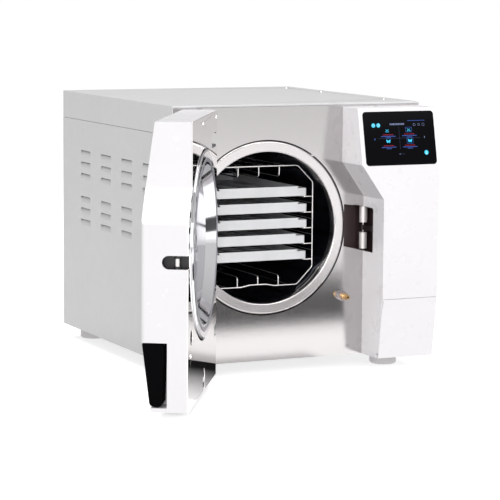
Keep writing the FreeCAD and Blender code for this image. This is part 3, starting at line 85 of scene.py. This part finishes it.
class Paint:
    """One procedural material: a Principled shader and the nodes that vary it."""

    def __init__(self, name, color, rough, metal=0.0, coat=0.0, specular=0.5):
        self.material = bpy.data.materials.new(name)
        self.material.use_nodes = True
        self.tree = self.material.node_tree
        self.shader = self.tree.nodes["Principled BSDF"]
        self.color = color
        self.rough = rough
        self.shader.inputs["Metallic"].default_value = metal
        self.shader.inputs["Coat Weight"].default_value = coat
        self.shader.inputs["Coat Roughness"].default_value = COAT_ROUGHNESS
        self.shader.inputs["Specular IOR Level"].default_value = specular
        self.shader.inputs["Roughness"].default_value = rough
        self.shader.inputs["Base Color"].default_value = (*color, 1)
        self.coords = self.tree.nodes.new("ShaderNodeTexCoord").outputs["Object"]
        self.normal = None

    def new(self, kind, **values):
        node = self.tree.nodes.new(kind)
        for key, value in values.items():
            setattr(node, key, value)
        return node

    def link(self, out, into):
        self.tree.links.new(out, into)

    def stretched(self, scale, centre=(0, 0, 0)):
        """Object coordinates, moved to a centre and scaled along each axis."""
        mapping = self.new("ShaderNodeMapping")
        mapping.inputs["Location"].default_value = [-c * s for c, s in zip(centre, scale)]
        mapping.inputs["Scale"].default_value = scale
        self.link(self.coords, mapping.inputs["Vector"])
        return mapping.outputs["Vector"]

    def around(self, centre, across, along):
        """Polar coordinates about a line along Y: radius times across, angle times along."""
        at = self.stretched((1, 1, 1), centre)
        split = self.new("ShaderNodeSeparateXYZ")
        self.link(at, split.inputs[0])
        angle = self.new("ShaderNodeMath", operation="ARCTAN2")
        self.link(split.outputs["Z"], angle.inputs[0])
        self.link(split.outputs["X"], angle.inputs[1])
        flat = self.new("ShaderNodeCombineXYZ")
        self.link(split.outputs["X"], flat.inputs["X"])
        self.link(split.outputs["Z"], flat.inputs["Z"])
        radius = self.new("ShaderNodeVectorMath", operation="LENGTH")
        self.link(flat.outputs[0], radius.inputs[0])
        out = self.new("ShaderNodeCombineXYZ")
        polar = ((radius.outputs["Value"], across, "X"), (angle.outputs[0], along, "Y"))
        for source, factor, target in polar:
            scaled = self.new("ShaderNodeMath", operation="MULTIPLY")
            scaled.inputs[1].default_value = factor
            self.link(source, scaled.inputs[0])
            self.link(scaled.outputs[0], out.inputs[target])
        self.link(split.outputs["Y"], out.inputs["Z"])
        return out.outputs[0]

    def noise(self, scale, vector=None, detail=4, roughness=0.55):
        node = self.new("ShaderNodeTexNoise")
        node.inputs["Scale"].default_value = scale
        node.inputs["Detail"].default_value = detail
        node.inputs["Roughness"].default_value = roughness
        self.link(vector or self.coords, node.inputs["Vector"])
        return node.outputs["Fac"]

    def ramp(self, value, low, high, at=(0.3, 0.7)):
        """Maps a 0 to 1 value onto low to high."""
        node = self.new("ShaderNodeMapRange")
        node.inputs["From Min"].default_value = at[0]
        node.inputs["From Max"].default_value = at[1]
        node.inputs["To Min"].default_value = low
        node.inputs["To Max"].default_value = high
        self.link(value, node.inputs["Value"])
        return node.outputs["Result"]

    def vary_color(self, value, darker, at=(0.3, 0.7)):
        """Mixes the colour with a second one by a pattern."""
        node = self.new("ShaderNodeValToRGB")
        node.color_ramp.elements[0].position = at[0]
        node.color_ramp.elements[0].color = (*darker, 1)
        node.color_ramp.elements[1].position = at[1]
        node.color_ramp.elements[1].color = (*self.color, 1)
        self.link(value, node.inputs["Fac"])
        self.link(node.outputs["Color"], self.shader.inputs["Base Color"])

    def vary_rough(self, value, low, high):
        self.link(self.ramp(value, low, high), self.shader.inputs["Roughness"])

    def bump(self, value, height, strength=1.0):
        """Adds relief; several calls add up."""
        node = self.new("ShaderNodeBump")
        node.inputs["Strength"].default_value = strength
        node.inputs["Distance"].default_value = height
        self.link(value, node.inputs["Height"])
        if self.normal:
            self.link(self.normal, node.inputs["Normal"])
        self.normal = node.outputs["Normal"]
        self.link(self.normal, self.shader.inputs["Normal"])


def shade(color, factor):
    """The same colour, darker."""
    return tuple(c * factor for c in color)


def coated_sheet(name, color, rough):
    """Powder-coated sheet metal: an orange-peel surface with faint clouds."""
    paint = Paint(name, color, rough, coat=0.15)
    paint.vary_color(paint.noise(9), shade(color, 0.985))
    paint.vary_rough(paint.noise(60), rough - 0.05, rough + 0.08)
    paint.bump(paint.noise(900, detail=2), ORANGE_PEEL, 0.35)
    paint.bump(paint.noise(240, detail=2), SHEET_WAVES, 0.12)
    return paint.material


def moulded(name, color, rough, grain=1500, height=PLASTIC_GRAIN, coat=0.1, mottle=0.985, specular=0.5):
    """Moulded plastic: fine grain with slow changes of gloss."""
    paint = Paint(name, color, rough, coat=coat, specular=specular)
    paint.vary_color(paint.noise(14), shade(color, mottle))
    paint.vary_rough(paint.noise(35), max(rough - 0.015, 0.05), rough + 0.015)
    paint.bump(paint.noise(grain, detail=3), height, 0.08)
    return paint.material


def brushed(name, color, scale, rough, streak=0.86):
    """Metal brushed along one axis: the axis with the small scale."""
    paint = Paint(name, color, rough, metal=1.0)
    lines = paint.noise(1, paint.stretched(scale), detail=5, roughness=0.7)
    paint.vary_color(lines, shade(color, streak), at=(0.35, 0.65))
    paint.vary_rough(lines, rough * 0.72, rough * 1.3)
    paint.bump(lines, BRUSH_LINES, 0.5)
    return paint


def satin_metal(name, color, rough, scale, metal=1.0):
    """Plain metal with a soft bead-blasted or cast grain."""
    paint = Paint(name, color, rough, metal=metal)
    paint.vary_color(paint.noise(25), shade(color, 0.9))
    paint.vary_rough(paint.noise(70), max(rough - 0.07, MIN_ROUGH), rough + 0.08)
    paint.bump(paint.noise(scale, detail=3), BEAD_GRAIN, 0.3)
    return paint.material


def turned(name, color, centre, rough):
    """Metal turned on a lathe about a line along Y: fine rings."""
    paint = Paint(name, color, rough, metal=1.0)
    rings = paint.noise(1, paint.around(centre, across=1600, along=1.2), roughness=0.7)
    paint.vary_color(rings, shade(color, 0.9))
    paint.vary_rough(rings, max(rough - 0.06, MIN_ROUGH), rough + 0.07)
    paint.bump(rings, LATHE_RINGS, 0.4)
    return paint.material


# ---------------------------------------------------------------- materials of the object

ring_lo, ring_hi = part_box("chamber_flange")
chamber_centre = tuple((a + b) / 2 for a, b in zip(ring_lo, ring_hi))

# WHITE, the casing sheet's white, is set greyer than the housing's WARM_WHITE; the extra grey is painted
# shade for the casing's dimmer sides and top
WHITE = (0.60, 0.60, 0.605)
WARM_WHITE = (0.83, 0.812, 0.83)
STEEL = (0.62, 0.60, 0.60)

WEAVE_TURN = 0.6
WEAVE_SCALE = 190


def linen_steel():
    """The front panel: stainless sheet with a fine woven print over an upright brush."""
    paint = brushed("linen_steel", (0.57, 0.55, 0.55), (1400, 1400, 25), rough=0.095, streak=0.94)
    weave = []
    for turn_by in (WEAVE_TURN, -WEAVE_TURN):
        mapping = paint.new("ShaderNodeMapping")
        mapping.inputs["Rotation"].default_value = (0, turn_by, 0)
        paint.link(paint.coords, mapping.inputs["Vector"])
        wave = paint.new("ShaderNodeTexWave", wave_type="BANDS", bands_direction="X")
        wave.inputs["Scale"].default_value = WEAVE_SCALE
        wave.inputs["Distortion"].default_value = 0.6
        paint.link(mapping.outputs["Vector"], wave.inputs["Vector"])
        weave.append(wave.outputs["Fac"])
    cross = paint.new("ShaderNodeMath", operation="MULTIPLY")
    paint.link(weave[0], cross.inputs[0])
    paint.link(weave[1], cross.inputs[1])
    paint.bump(cross.outputs[0], WEAVE_RELIEF, 0.3)
    return paint.material


def mirror_sheet(name, color, rough):
    """Polished stainless sheet: nearly a mirror, with faint upright polishing lines and soft smears."""
    paint = Paint(name, color, rough, metal=1.0)
    lines = paint.noise(1, paint.stretched((700, 700, 9)))
    smears = paint.noise(16)
    paint.vary_color(lines, shade(color, 0.95))
    paint.vary_rough(smears, rough - 0.015, rough + 0.03)
    paint.bump(lines, POLISH_LINES, 0.25)
    return paint.material


def chamber_painted_shade():
    """The chamber's inside: stainless steel painted nearly black as painted shade of the deep bore, with
    long darker clouds.
    """
    paint = Paint("chamber_bore_painted_shade", (0.10, 0.105, 0.14), 0.2, metal=1.0)
    clouds = paint.noise(18, paint.stretched((1, 0.2, 1)))
    paint.vary_color(clouds, (0.035, 0.037, 0.06))
    paint.vary_rough(clouds, 0.12, 0.3)
    paint.bump(paint.noise(120), BORE_RELIEF, 0.2)
    return paint.material


def black_glass():
    """The screen's cover: black glass with faint smears."""
    paint = Paint("screen_black_glass", (0.003, 0.003, 0.004), 0.06, specular=0.03)
    paint.vary_rough(paint.noise(30), 0.04, 0.1)
    return paint.material


coated = coated_sheet("coated_white", WHITE, 0.42)
cover_white = coated_sheet("coated_cover", WHITE, 0.4)
housing_white = moulded("housing_white", WARM_WHITE, 0.28)
door_white = moulded("door_white", (0.78, 0.765, 0.78), 0.26)
panel_steel = linen_steel()
door_plate_steel = mirror_sheet("door_plate_steel", (0.96, 0.945, 0.94), rough=0.045)
plain_steel = brushed("plain_steel", STEEL, (20, 900, 900), rough=0.35).material
ring_steel = turned("ring_steel", (0.73, 0.70, 0.70), chamber_centre, rough=0.2)
disc_steel = mirror_sheet("disc_steel", (0.74, 0.735, 0.76), rough=0.07)
bright_steel = satin_metal("bright_steel", (0.82, 0.81, 0.80), 0.16, scale=400)
sleeve_steel = satin_metal("sleeve_steel", (0.92, 0.88, 0.86), 0.5, metal=0.5, scale=500)
shaft_steel = satin_metal("shaft_steel", (0.42, 0.38, 0.38), 0.25, scale=400)
# the bore's near-black colour is painted shade of the deep chamber
bore_shade_steel = chamber_painted_shade()
wire_steel = satin_metal("wire_steel", (0.80, 0.78, 0.76), 0.18, scale=600)
tray_metal = satin_metal("tray_metal", (0.72, 0.73, 0.74), 0.42, metal=0.35, scale=900)
cast_metal = satin_metal("cast_metal", (0.45, 0.46, 0.48), 0.5, scale=200)
brass = satin_metal("brass", (0.72, 0.46, 0.22), 0.24, scale=500)
dark_metal = satin_metal("dark_metal", (0.07, 0.055, 0.055), 0.42, metal=0.8, scale=500)
black_plastic = moulded("black_plastic", (0.012, 0.011, 0.013), 0.4, coat=0.0, mottle=0.6)
grip_black = moulded(
    "grip_black", (0.0015, 0.0015, 0.002), 0.75, grain=900, coat=0, mottle=0.6, specular=0.03
)
brown_black = moulded("pocket_brown", (0.05, 0.028, 0.03), 0.35, coat=0.2, mottle=0.6)
grey_rubber = moulded(
    "grey_rubber", (0.74, 0.72, 0.725), 0.6, grain=700, height=RUBBER_GRAIN, coat=0.0, mottle=0.9
)
silicone = moulded("silicone", (0.30, 0.30, 0.33), 0.35, grain=500, coat=0.2, mottle=0.8)
blanket = moulded("blanket", (0.62, 0.60, 0.55), 0.9, grain=250, height=BLANKET_GRAIN, coat=0.0, mottle=0.8)
tank_plastic = moulded("tank_plastic", (0.70, 0.72, 0.74), 0.35)
board_green = moulded("board_green", (0.02, 0.14, 0.05), 0.3, grain=300, coat=0.4, mottle=0.7)
screen_glass = black_glass()

LOOKS = {
    coated: "base_pan left_side_panel right_side_panel rear_panel",
    cover_white: "top_cover",
    housing_white: "control_housing service_flap",
    door_white: "door_cover",
    panel_steel: "front_panel",
    door_plate_steel: "door_inner_plate",
    plain_steel: "chamber_cradles service_plate door_chassis hinge_brackets lock_actuator",
    ring_steel: "chamber_flange",
    disc_steel: "door_disc",
    sleeve_steel: "lock_sleeves catch_pin",
    bright_steel: "hinge_pins flap_rod casing_screws door_screws safety_valve",
    shaft_steel: "lock_shaft nipple_nut",
    bore_shade_steel: "pressure_chamber",
    wire_steel: "rack_frames rack_side_rails rack_cross_rails",
    tray_metal: "tray_1 tray_2 tray_3 tray_4 tray_5",
    cast_metal: "steam_generator condenser pump_and_valves",
    brass: "drain_nipple drain_valves",
    dark_metal: "lock_hook vacuum_pump heater_bands door_hinge_arms",
    black_plastic: """catch_liner fan_frame fan_rotor mains_inlet switch_frame power_rocker
        air_filter display_module""",
    grip_black: "handle_insert",
    brown_black: "lock_pocket",
    grey_rubber: "feet",
    silicone: "door_gasket",
    blanket: "chamber_insulation",
    tank_plastic: "water_tanks",
    board_green: "power_and_control",
    screen_glass: "screen_glass",
}

for look, names in LOOKS.items():
    for name in names.split():
        data = nodes_3d[name].data
        data.materials.clear()
        data.materials.append(look)

# every CAD node must have a look
missing = set(nodes_3d) - {name for names in LOOKS.values() for name in names.split()}
assert not missing, missing


# ---------------------------------------------------------------- softened edges

# Bevel widths, in metres, of the pieces with rounded edges.
WELD_DISTANCE = 0.00002
BEVEL_STEPS = 3
SHARP_FROM = math.radians(35)
SOFT_EDGES = {
    "control_housing": 0.0016,
    "door_cover": 0.0012,
    "service_flap": 0.0008,
    "top_cover": 0.0008,
    "handle_insert": 0.0015,
    "door_inner_plate": 0.0004,
    "chamber_flange": 0.0012,
    "screen_glass": 0.0006,
}

for name, width in SOFT_EDGES.items():
    piece = nodes_3d[name]
    weld = piece.modifiers.new("weld", "WELD")
    weld.merge_threshold = WELD_DISTANCE
    bevel = piece.modifiers.new("bevel", "BEVEL")
    bevel.width = width
    bevel.segments = BEVEL_STEPS
    bevel.limit_method = "ANGLE"
    bevel.angle_limit = SHARP_FROM
    bevel.harden_normals = False
    bevel.use_clamp_overlap = True


# ---------------------------------------------------------------- screen graphics

# The housing's slope runs back by SLOPE_RUN over SLOPE_RISE, in millimetres; the rest is in metres.
glass_lo, glass_hi = map(Vector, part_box("screen_glass"))
SLOPE_RUN, SLOPE_RISE = 71 - 51.5, 410.5 - 318
LEAN = math.atan(SLOPE_RUN / SLOPE_RISE)
SCREEN_HEIGHT = 0.0875
GRAPHICS_LIFT = 0.00012
BACK_DROP = 0.00004
DASH_SHORT, DASH_EXTRA = 0.62, 0.25


def glowing(name, color, strength):
    """A lit area of the display, with the faint unevenness of a backlight."""
    paint = Paint(name, (0.002, 0.002, 0.003), 0.12, specular=0.06)
    paint.shader.inputs["Emission Color"].default_value = (*color, 1)
    backlight = paint.ramp(paint.noise(120), strength * 0.8, strength * 1.15)
    paint.link(backlight, paint.shader.inputs["Emission Strength"])
    paint.vary_rough(paint.noise(40), 0.08, 0.16)
    return paint.material


class ScreenDrawing:
    """Flat shapes on the glass, placed by (u, v) in parts of its width and height from the top left."""

    def __init__(self):
        self.mesh = bmesh.new()
        self.foot = glass_lo
        self.width = glass_hi.x - glass_lo.x
        self.rise = Vector((0, math.sin(LEAN), math.cos(LEAN)))
        self.out = Vector((0, -math.cos(LEAN), math.sin(LEAN)))
        self.tall = self.width / SCREEN_HEIGHT

    def place(self, u, v, lift):
        along = Vector((u * self.width, 0, 0))
        up = (1 - v) * SCREEN_HEIGHT
        return self.foot + along + self.rise * up + self.out * (GRAPHICS_LIFT + lift)

    def face(self, points, color, lift=0.0):
        corners = [self.mesh.verts.new(self.place(u, v, lift)) for u, v in points]
        self.mesh.faces.new(corners).material_index = color

    def bar(self, u, v, w, h, color, lift=0.0):
        w, h = w / 2, h / 2
        self.face([(u - w, v - h), (u - w, v + h), (u + w, v + h), (u + w, v - h)], color, lift)

    def disc(self, u, v, r, color, count=24):
        angles = [-2 * math.pi * i / count for i in range(count)]
        self.face([(u + r * math.cos(a), v + r * self.tall * math.sin(a)) for a in angles], color)

    def hoop(self, u, v, r, thick, color, count=24):
        for i in range(count):
            a, b = (2 * math.pi * k / count for k in (i, i + 1))
            ring = [(r, a), (r - thick, a), (r - thick, b), (r, b)]
            self.face([(u + k * math.cos(t), v + k * self.tall * math.sin(t)) for k, t in ring], color)

    def frame(self, u, v, w, h, line, color):
        for side in (-1, 1):
            self.bar(u, v + side * h / 2, w + line, line * self.tall, color)
            self.bar(u + side * w / 2, v, line, h, color)

    def words(self, u, v, w, h, color, count):
        """A row of short dashes for a line of text."""
        step = w / count
        for i in range(count):
            width = step * (DASH_SHORT + DASH_EXTRA * ((i * 7) % 3) / 2)
            self.bar(u - w / 2 + step * (i + 0.5), v, width, h, color)

    def done(self, name, materials):
        data = bpy.data.meshes.new(name)
        self.mesh.to_mesh(data)
        self.mesh.free()
        for material in materials:
            data.materials.append(material)
        piece = bpy.data.objects.new(name, data)
        scene.collection.objects.link(piece)
        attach(piece, "cabinet")


def crossed_tools(draw, u, v, size, color):
    """Two crossed strokes with a loop at the foot of each."""
    for side in (-1, 1):
        top = (u + side * size, v - size * 0.9)
        foot = (u - side * size * 0.7, v + size * 0.7)
        across = size * 0.16
        points = [
            (top[0] - across, top[1]),
            (foot[0] - across, foot[1]),
            (foot[0] + across, foot[1]),
            (top[0] + across, top[1]),
        ]
        draw.face(points, color)
        draw.hoop(foot[0], foot[1] + size * 0.35, size * 0.42, size * 0.16, color, 16)


def paired_leaves(draw, u, v, size, color):
    """Two leaf shapes side by side."""
    for side in (-1, 1):
        points = [
            (u, v - size * 0.4),
            (u + side * size * 1.15, v - size * 1.35),
            (u + side * size * 1.0, v + size * 0.1),
            (u + side * size * 0.75, v + size * 1.25),
            (u, v + size * 0.7),
        ]
        draw.face(points if side < 0 else points[::-1], color)


def make_screen_graphics():
    draw = ScreenDrawing()
    back, cyan, pale, red, line, blue, white = range(7)
    draw.bar(0.49, 0.49, 0.78, 0.72, back, lift=-BACK_DROP)
    for u in (0.139, 0.208):
        draw.disc(u, 0.247, 0.027, cyan)
        draw.hoop(u, 0.247, 0.016, 0.005, white, 18)
    draw.words(0.47, 0.232, 0.21, 0.032, pale, 9)
    draw.words(0.745, 0.17, 0.25, 0.010, blue, 16)
    draw.hoop(0.717, 0.247, 0.017, 0.004, pale)
    draw.hoop(0.78, 0.247, 0.017, 0.004, pale, 5)
    draw.frame(0.843, 0.247, 0.030, 0.045, 0.003, pale)
    draw.bar(0.494, 0.49, 0.003, 0.42, line)
    draw.bar(0.49, 0.494, 0.60, 0.004, line)
    for u, v, boxed in ((0.326, 0.345, False), (0.632, 0.338, True)):
        crossed_tools(draw, u, v, 0.021, cyan)
        if boxed:
            draw.frame(u, v, 0.088, 0.088, 0.003, blue)
    for u, v, boxed in ((0.333, 0.548, False), (0.64, 0.545, True)):
        paired_leaves(draw, u, v, 0.026, cyan)
        if boxed:
            draw.frame(u, v, 0.088, 0.105, 0.003, blue)
    for u, v in ((0.335, 0.426), (0.635, 0.42), (0.335, 0.63), (0.635, 0.63)):
        draw.words(u, v, 0.15, 0.015, red, 7)
        draw.words(u, v + 0.03, 0.21, 0.014, blue, 11)
        draw.words(u, v + 0.056, 0.08, 0.012, blue, 4)
    draw.face([(0.150, 0.48), (0.136, 0.505), (0.150, 0.53)], blue)
    draw.face([(0.845, 0.46), (0.845, 0.51), (0.859, 0.485)], pale)
    draw.bar(0.485, 0.79, 0.024, 0.010, pale)
    for i in range(3):
        draw.bar(0.515 + 0.016 * i, 0.79, 0.008, 0.010, line)
    draw.disc(0.86, 0.775, 0.028, cyan)
    draw.bar(0.86, 0.77, 0.006, 0.045, white)
    draw.bar(0.86, 0.80, 0.022, 0.010, white)
    materials = [
        glowing("display_back", (0.002, 0.004, 0.018), 0.6),
        glowing("display_cyan", (0.05, 0.55, 0.85), 1.4),
        glowing("display_pale", (0.30, 0.36, 0.60), 0.7),
        glowing("display_red", (0.55, 0.03, 0.06), 0.7),
        glowing("display_line", (0.10, 0.12, 0.25), 0.5),
        glowing("display_blue", (0.08, 0.16, 0.60), 0.9),
        glowing("display_white", (0.80, 0.92, 1.0), 1.2),
    ]
    draw.done("screen_graphics", materials)


make_screen_graphics()


# ---------------------------------------------------------------- stage and light

# Strengths of the world's light, and the stage's sizes in metres.
WORLD_FRONT = 0.86
WORLD_BEHIND = 0.34
WORLD_BELOW = 0.72
HORIZON_BLUR = 0.02
FLOOR_HALF = 100
FLOOR_GLOW = 0.45
STAGE_GAP = 0.0004
FRONT_CARD = {"left": -0.12, "right": 0.8, "near": -0.69, "far": -1.33, "skew": 0.035}
# the under card's dark end is a painted shadow of the gap under the cabinet; FADE_DARK_AT and FADE_PALE_AT
# are where that shadow is full and where it has faded to pale
UNDER_CARD = {"left": -0.26, "right": 0.1, "near": -0.41, "far": 0.235}
FADE_DARK_AT, FADE_PALE_AT = -0.19, -0.41
FADE_GLOW = 0.3


def make_floor():
    """A wide pale floor that glows a little; it does not light the object from below."""
    mesh = bpy.data.meshes.new("floor")
    corners = [(x * FLOOR_HALF, y * FLOOR_HALF, 0) for x, y in ((-1, -1), (1, -1), (1, 1), (-1, 1))]
    mesh.from_pydata(corners, [], [(0, 1, 2, 3)])
    floor = bpy.data.objects.new("floor", mesh)
    scene.collection.objects.link(floor)
    floor.location.z = -STAGE_GAP
    paint = Paint("floor_paint", (0.93, 0.93, 0.93), 0.8, specular=0.0)
    paint.vary_color(paint.noise(2), (0.92, 0.92, 0.92))
    paint.shader.inputs["Emission Color"].default_value = (1, 1, 1, 1)
    paint.shader.inputs["Emission Strength"].default_value = FLOOR_GLOW
    mesh.materials.append(paint.material)
    floor.visible_diffuse = False


def card_black():
    """Plain dark card."""
    paint = Paint("card_black", (0.02, 0.018, 0.02), 0.7)
    paint.vary_color(paint.noise(3), (0.01, 0.01, 0.01))
    return paint.material


def card_shadow_fading():
    """Card that is dark under the casing, a painted shadow of the gap under the cabinet, and grows pale
    towards the front.
    """
    paint = Paint("card_shadow_fading", (0.6, 0.59, 0.59), 0.8, specular=0.0)
    split = paint.new("ShaderNodeSeparateXYZ")
    paint.link(paint.coords, split.inputs[0])
    fade = paint.ramp(split.outputs["Y"], 0.0, 1.0, at=(FADE_DARK_AT, FADE_PALE_AT))
    paint.vary_color(fade, (0.02, 0.02, 0.02), at=(0.0, 1.0))
    paint.shader.inputs["Emission Color"].default_value = (1, 1, 1, 1)
    glow = paint.ramp(fade, 0.0, FADE_GLOW, at=(0.0, 1.0))
    paint.link(glow, paint.shader.inputs["Emission Strength"])
    return paint.material


def make_card(name, look, left, right, near, far, skew=0.0):
    """A patch on the floor, seen only as a reflection in the polished metal."""
    mesh = bpy.data.meshes.new(name)
    corners = [(left, near + skew, 0.0), (right, near - skew, 0.0), (right, far, 0.0), (left, far, 0.0)]
    mesh.from_pydata(corners, [], [(3, 2, 1, 0)])
    card = bpy.data.objects.new(name, mesh)
    scene.collection.objects.link(card)
    card.location.z = STAGE_GAP
    mesh.materials.append(look)
    card.visible_camera = False
    card.visible_diffuse = False
    card.visible_shadow = False
    card.visible_transmission = False


def make_world():
    """A white studio, brighter in front of the machine than behind, with one tone below the horizon."""
    world = bpy.data.worlds.new("studio")
    world.use_nodes = True
    tree = world.node_tree
    back = tree.nodes["Background"]
    back.inputs["Color"].default_value = (1, 1, 1, 1)
    direction = tree.nodes.new("ShaderNodeTexCoord")
    split = tree.nodes.new("ShaderNodeSeparateXYZ")
    tree.links.new(direction.outputs["Generated"], split.inputs[0])
    fall_off = tree.nodes.new("ShaderNodeMapRange")
    fall_off.inputs["From Min"].default_value = -1
    fall_off.inputs["From Max"].default_value = 1
    fall_off.inputs["To Min"].default_value = WORLD_FRONT
    fall_off.inputs["To Max"].default_value = WORLD_BEHIND
    tree.links.new(split.outputs["Y"], fall_off.inputs["Value"])
    horizon = tree.nodes.new("ShaderNodeMapRange")
    horizon.inputs["From Min"].default_value = -HORIZON_BLUR
    horizon.inputs["From Max"].default_value = HORIZON_BLUR
    horizon.inputs["To Min"].default_value = WORLD_BELOW
    tree.links.new(split.outputs["Z"], horizon.inputs["Value"])
    tree.links.new(fall_off.outputs["Result"], horizon.inputs["To Max"])
    tree.links.new(horizon.outputs["Result"], back.inputs["Strength"])
    scene.world = world


LIGHTS = (
    ("key", (1.6, -3.2, 2.4), (0, 0, 0.2), 2.0, 24),
    ("fill", (-1.5, -3.4, 1.3), (0, -0.1, 0.2), 1.6, 47),
    ("top", (-0.5, 0.0, 3.2), (0, 0, 0), 3.0, 72),
)


def make_light(name, at, target, size, power):
    """A square soft light, aimed at a point."""
    data = bpy.data.lights.new(name, "AREA")
    data.shape = "RECTANGLE"
    data.size = data.size_y = size
    data.energy = power
    light = bpy.data.objects.new(name, data)
    light.location = at
    light.rotation_mode = "QUATERNION"
    light.rotation_quaternion = (Vector(target) - Vector(at)).to_track_quat("-Z", "Y")
    scene.collection.objects.link(light)


make_floor()
make_card("dark_card_front", card_black(), **FRONT_CARD)
# the under card puts a painted shadow of the gap under the cabinet into the door plate's reflection
make_card("shadow_card_under", card_shadow_fading(), **UNDER_CARD)
make_world()
for light in LIGHTS:
    make_light(*light)

scene.view_settings.view_transform = "Standard"
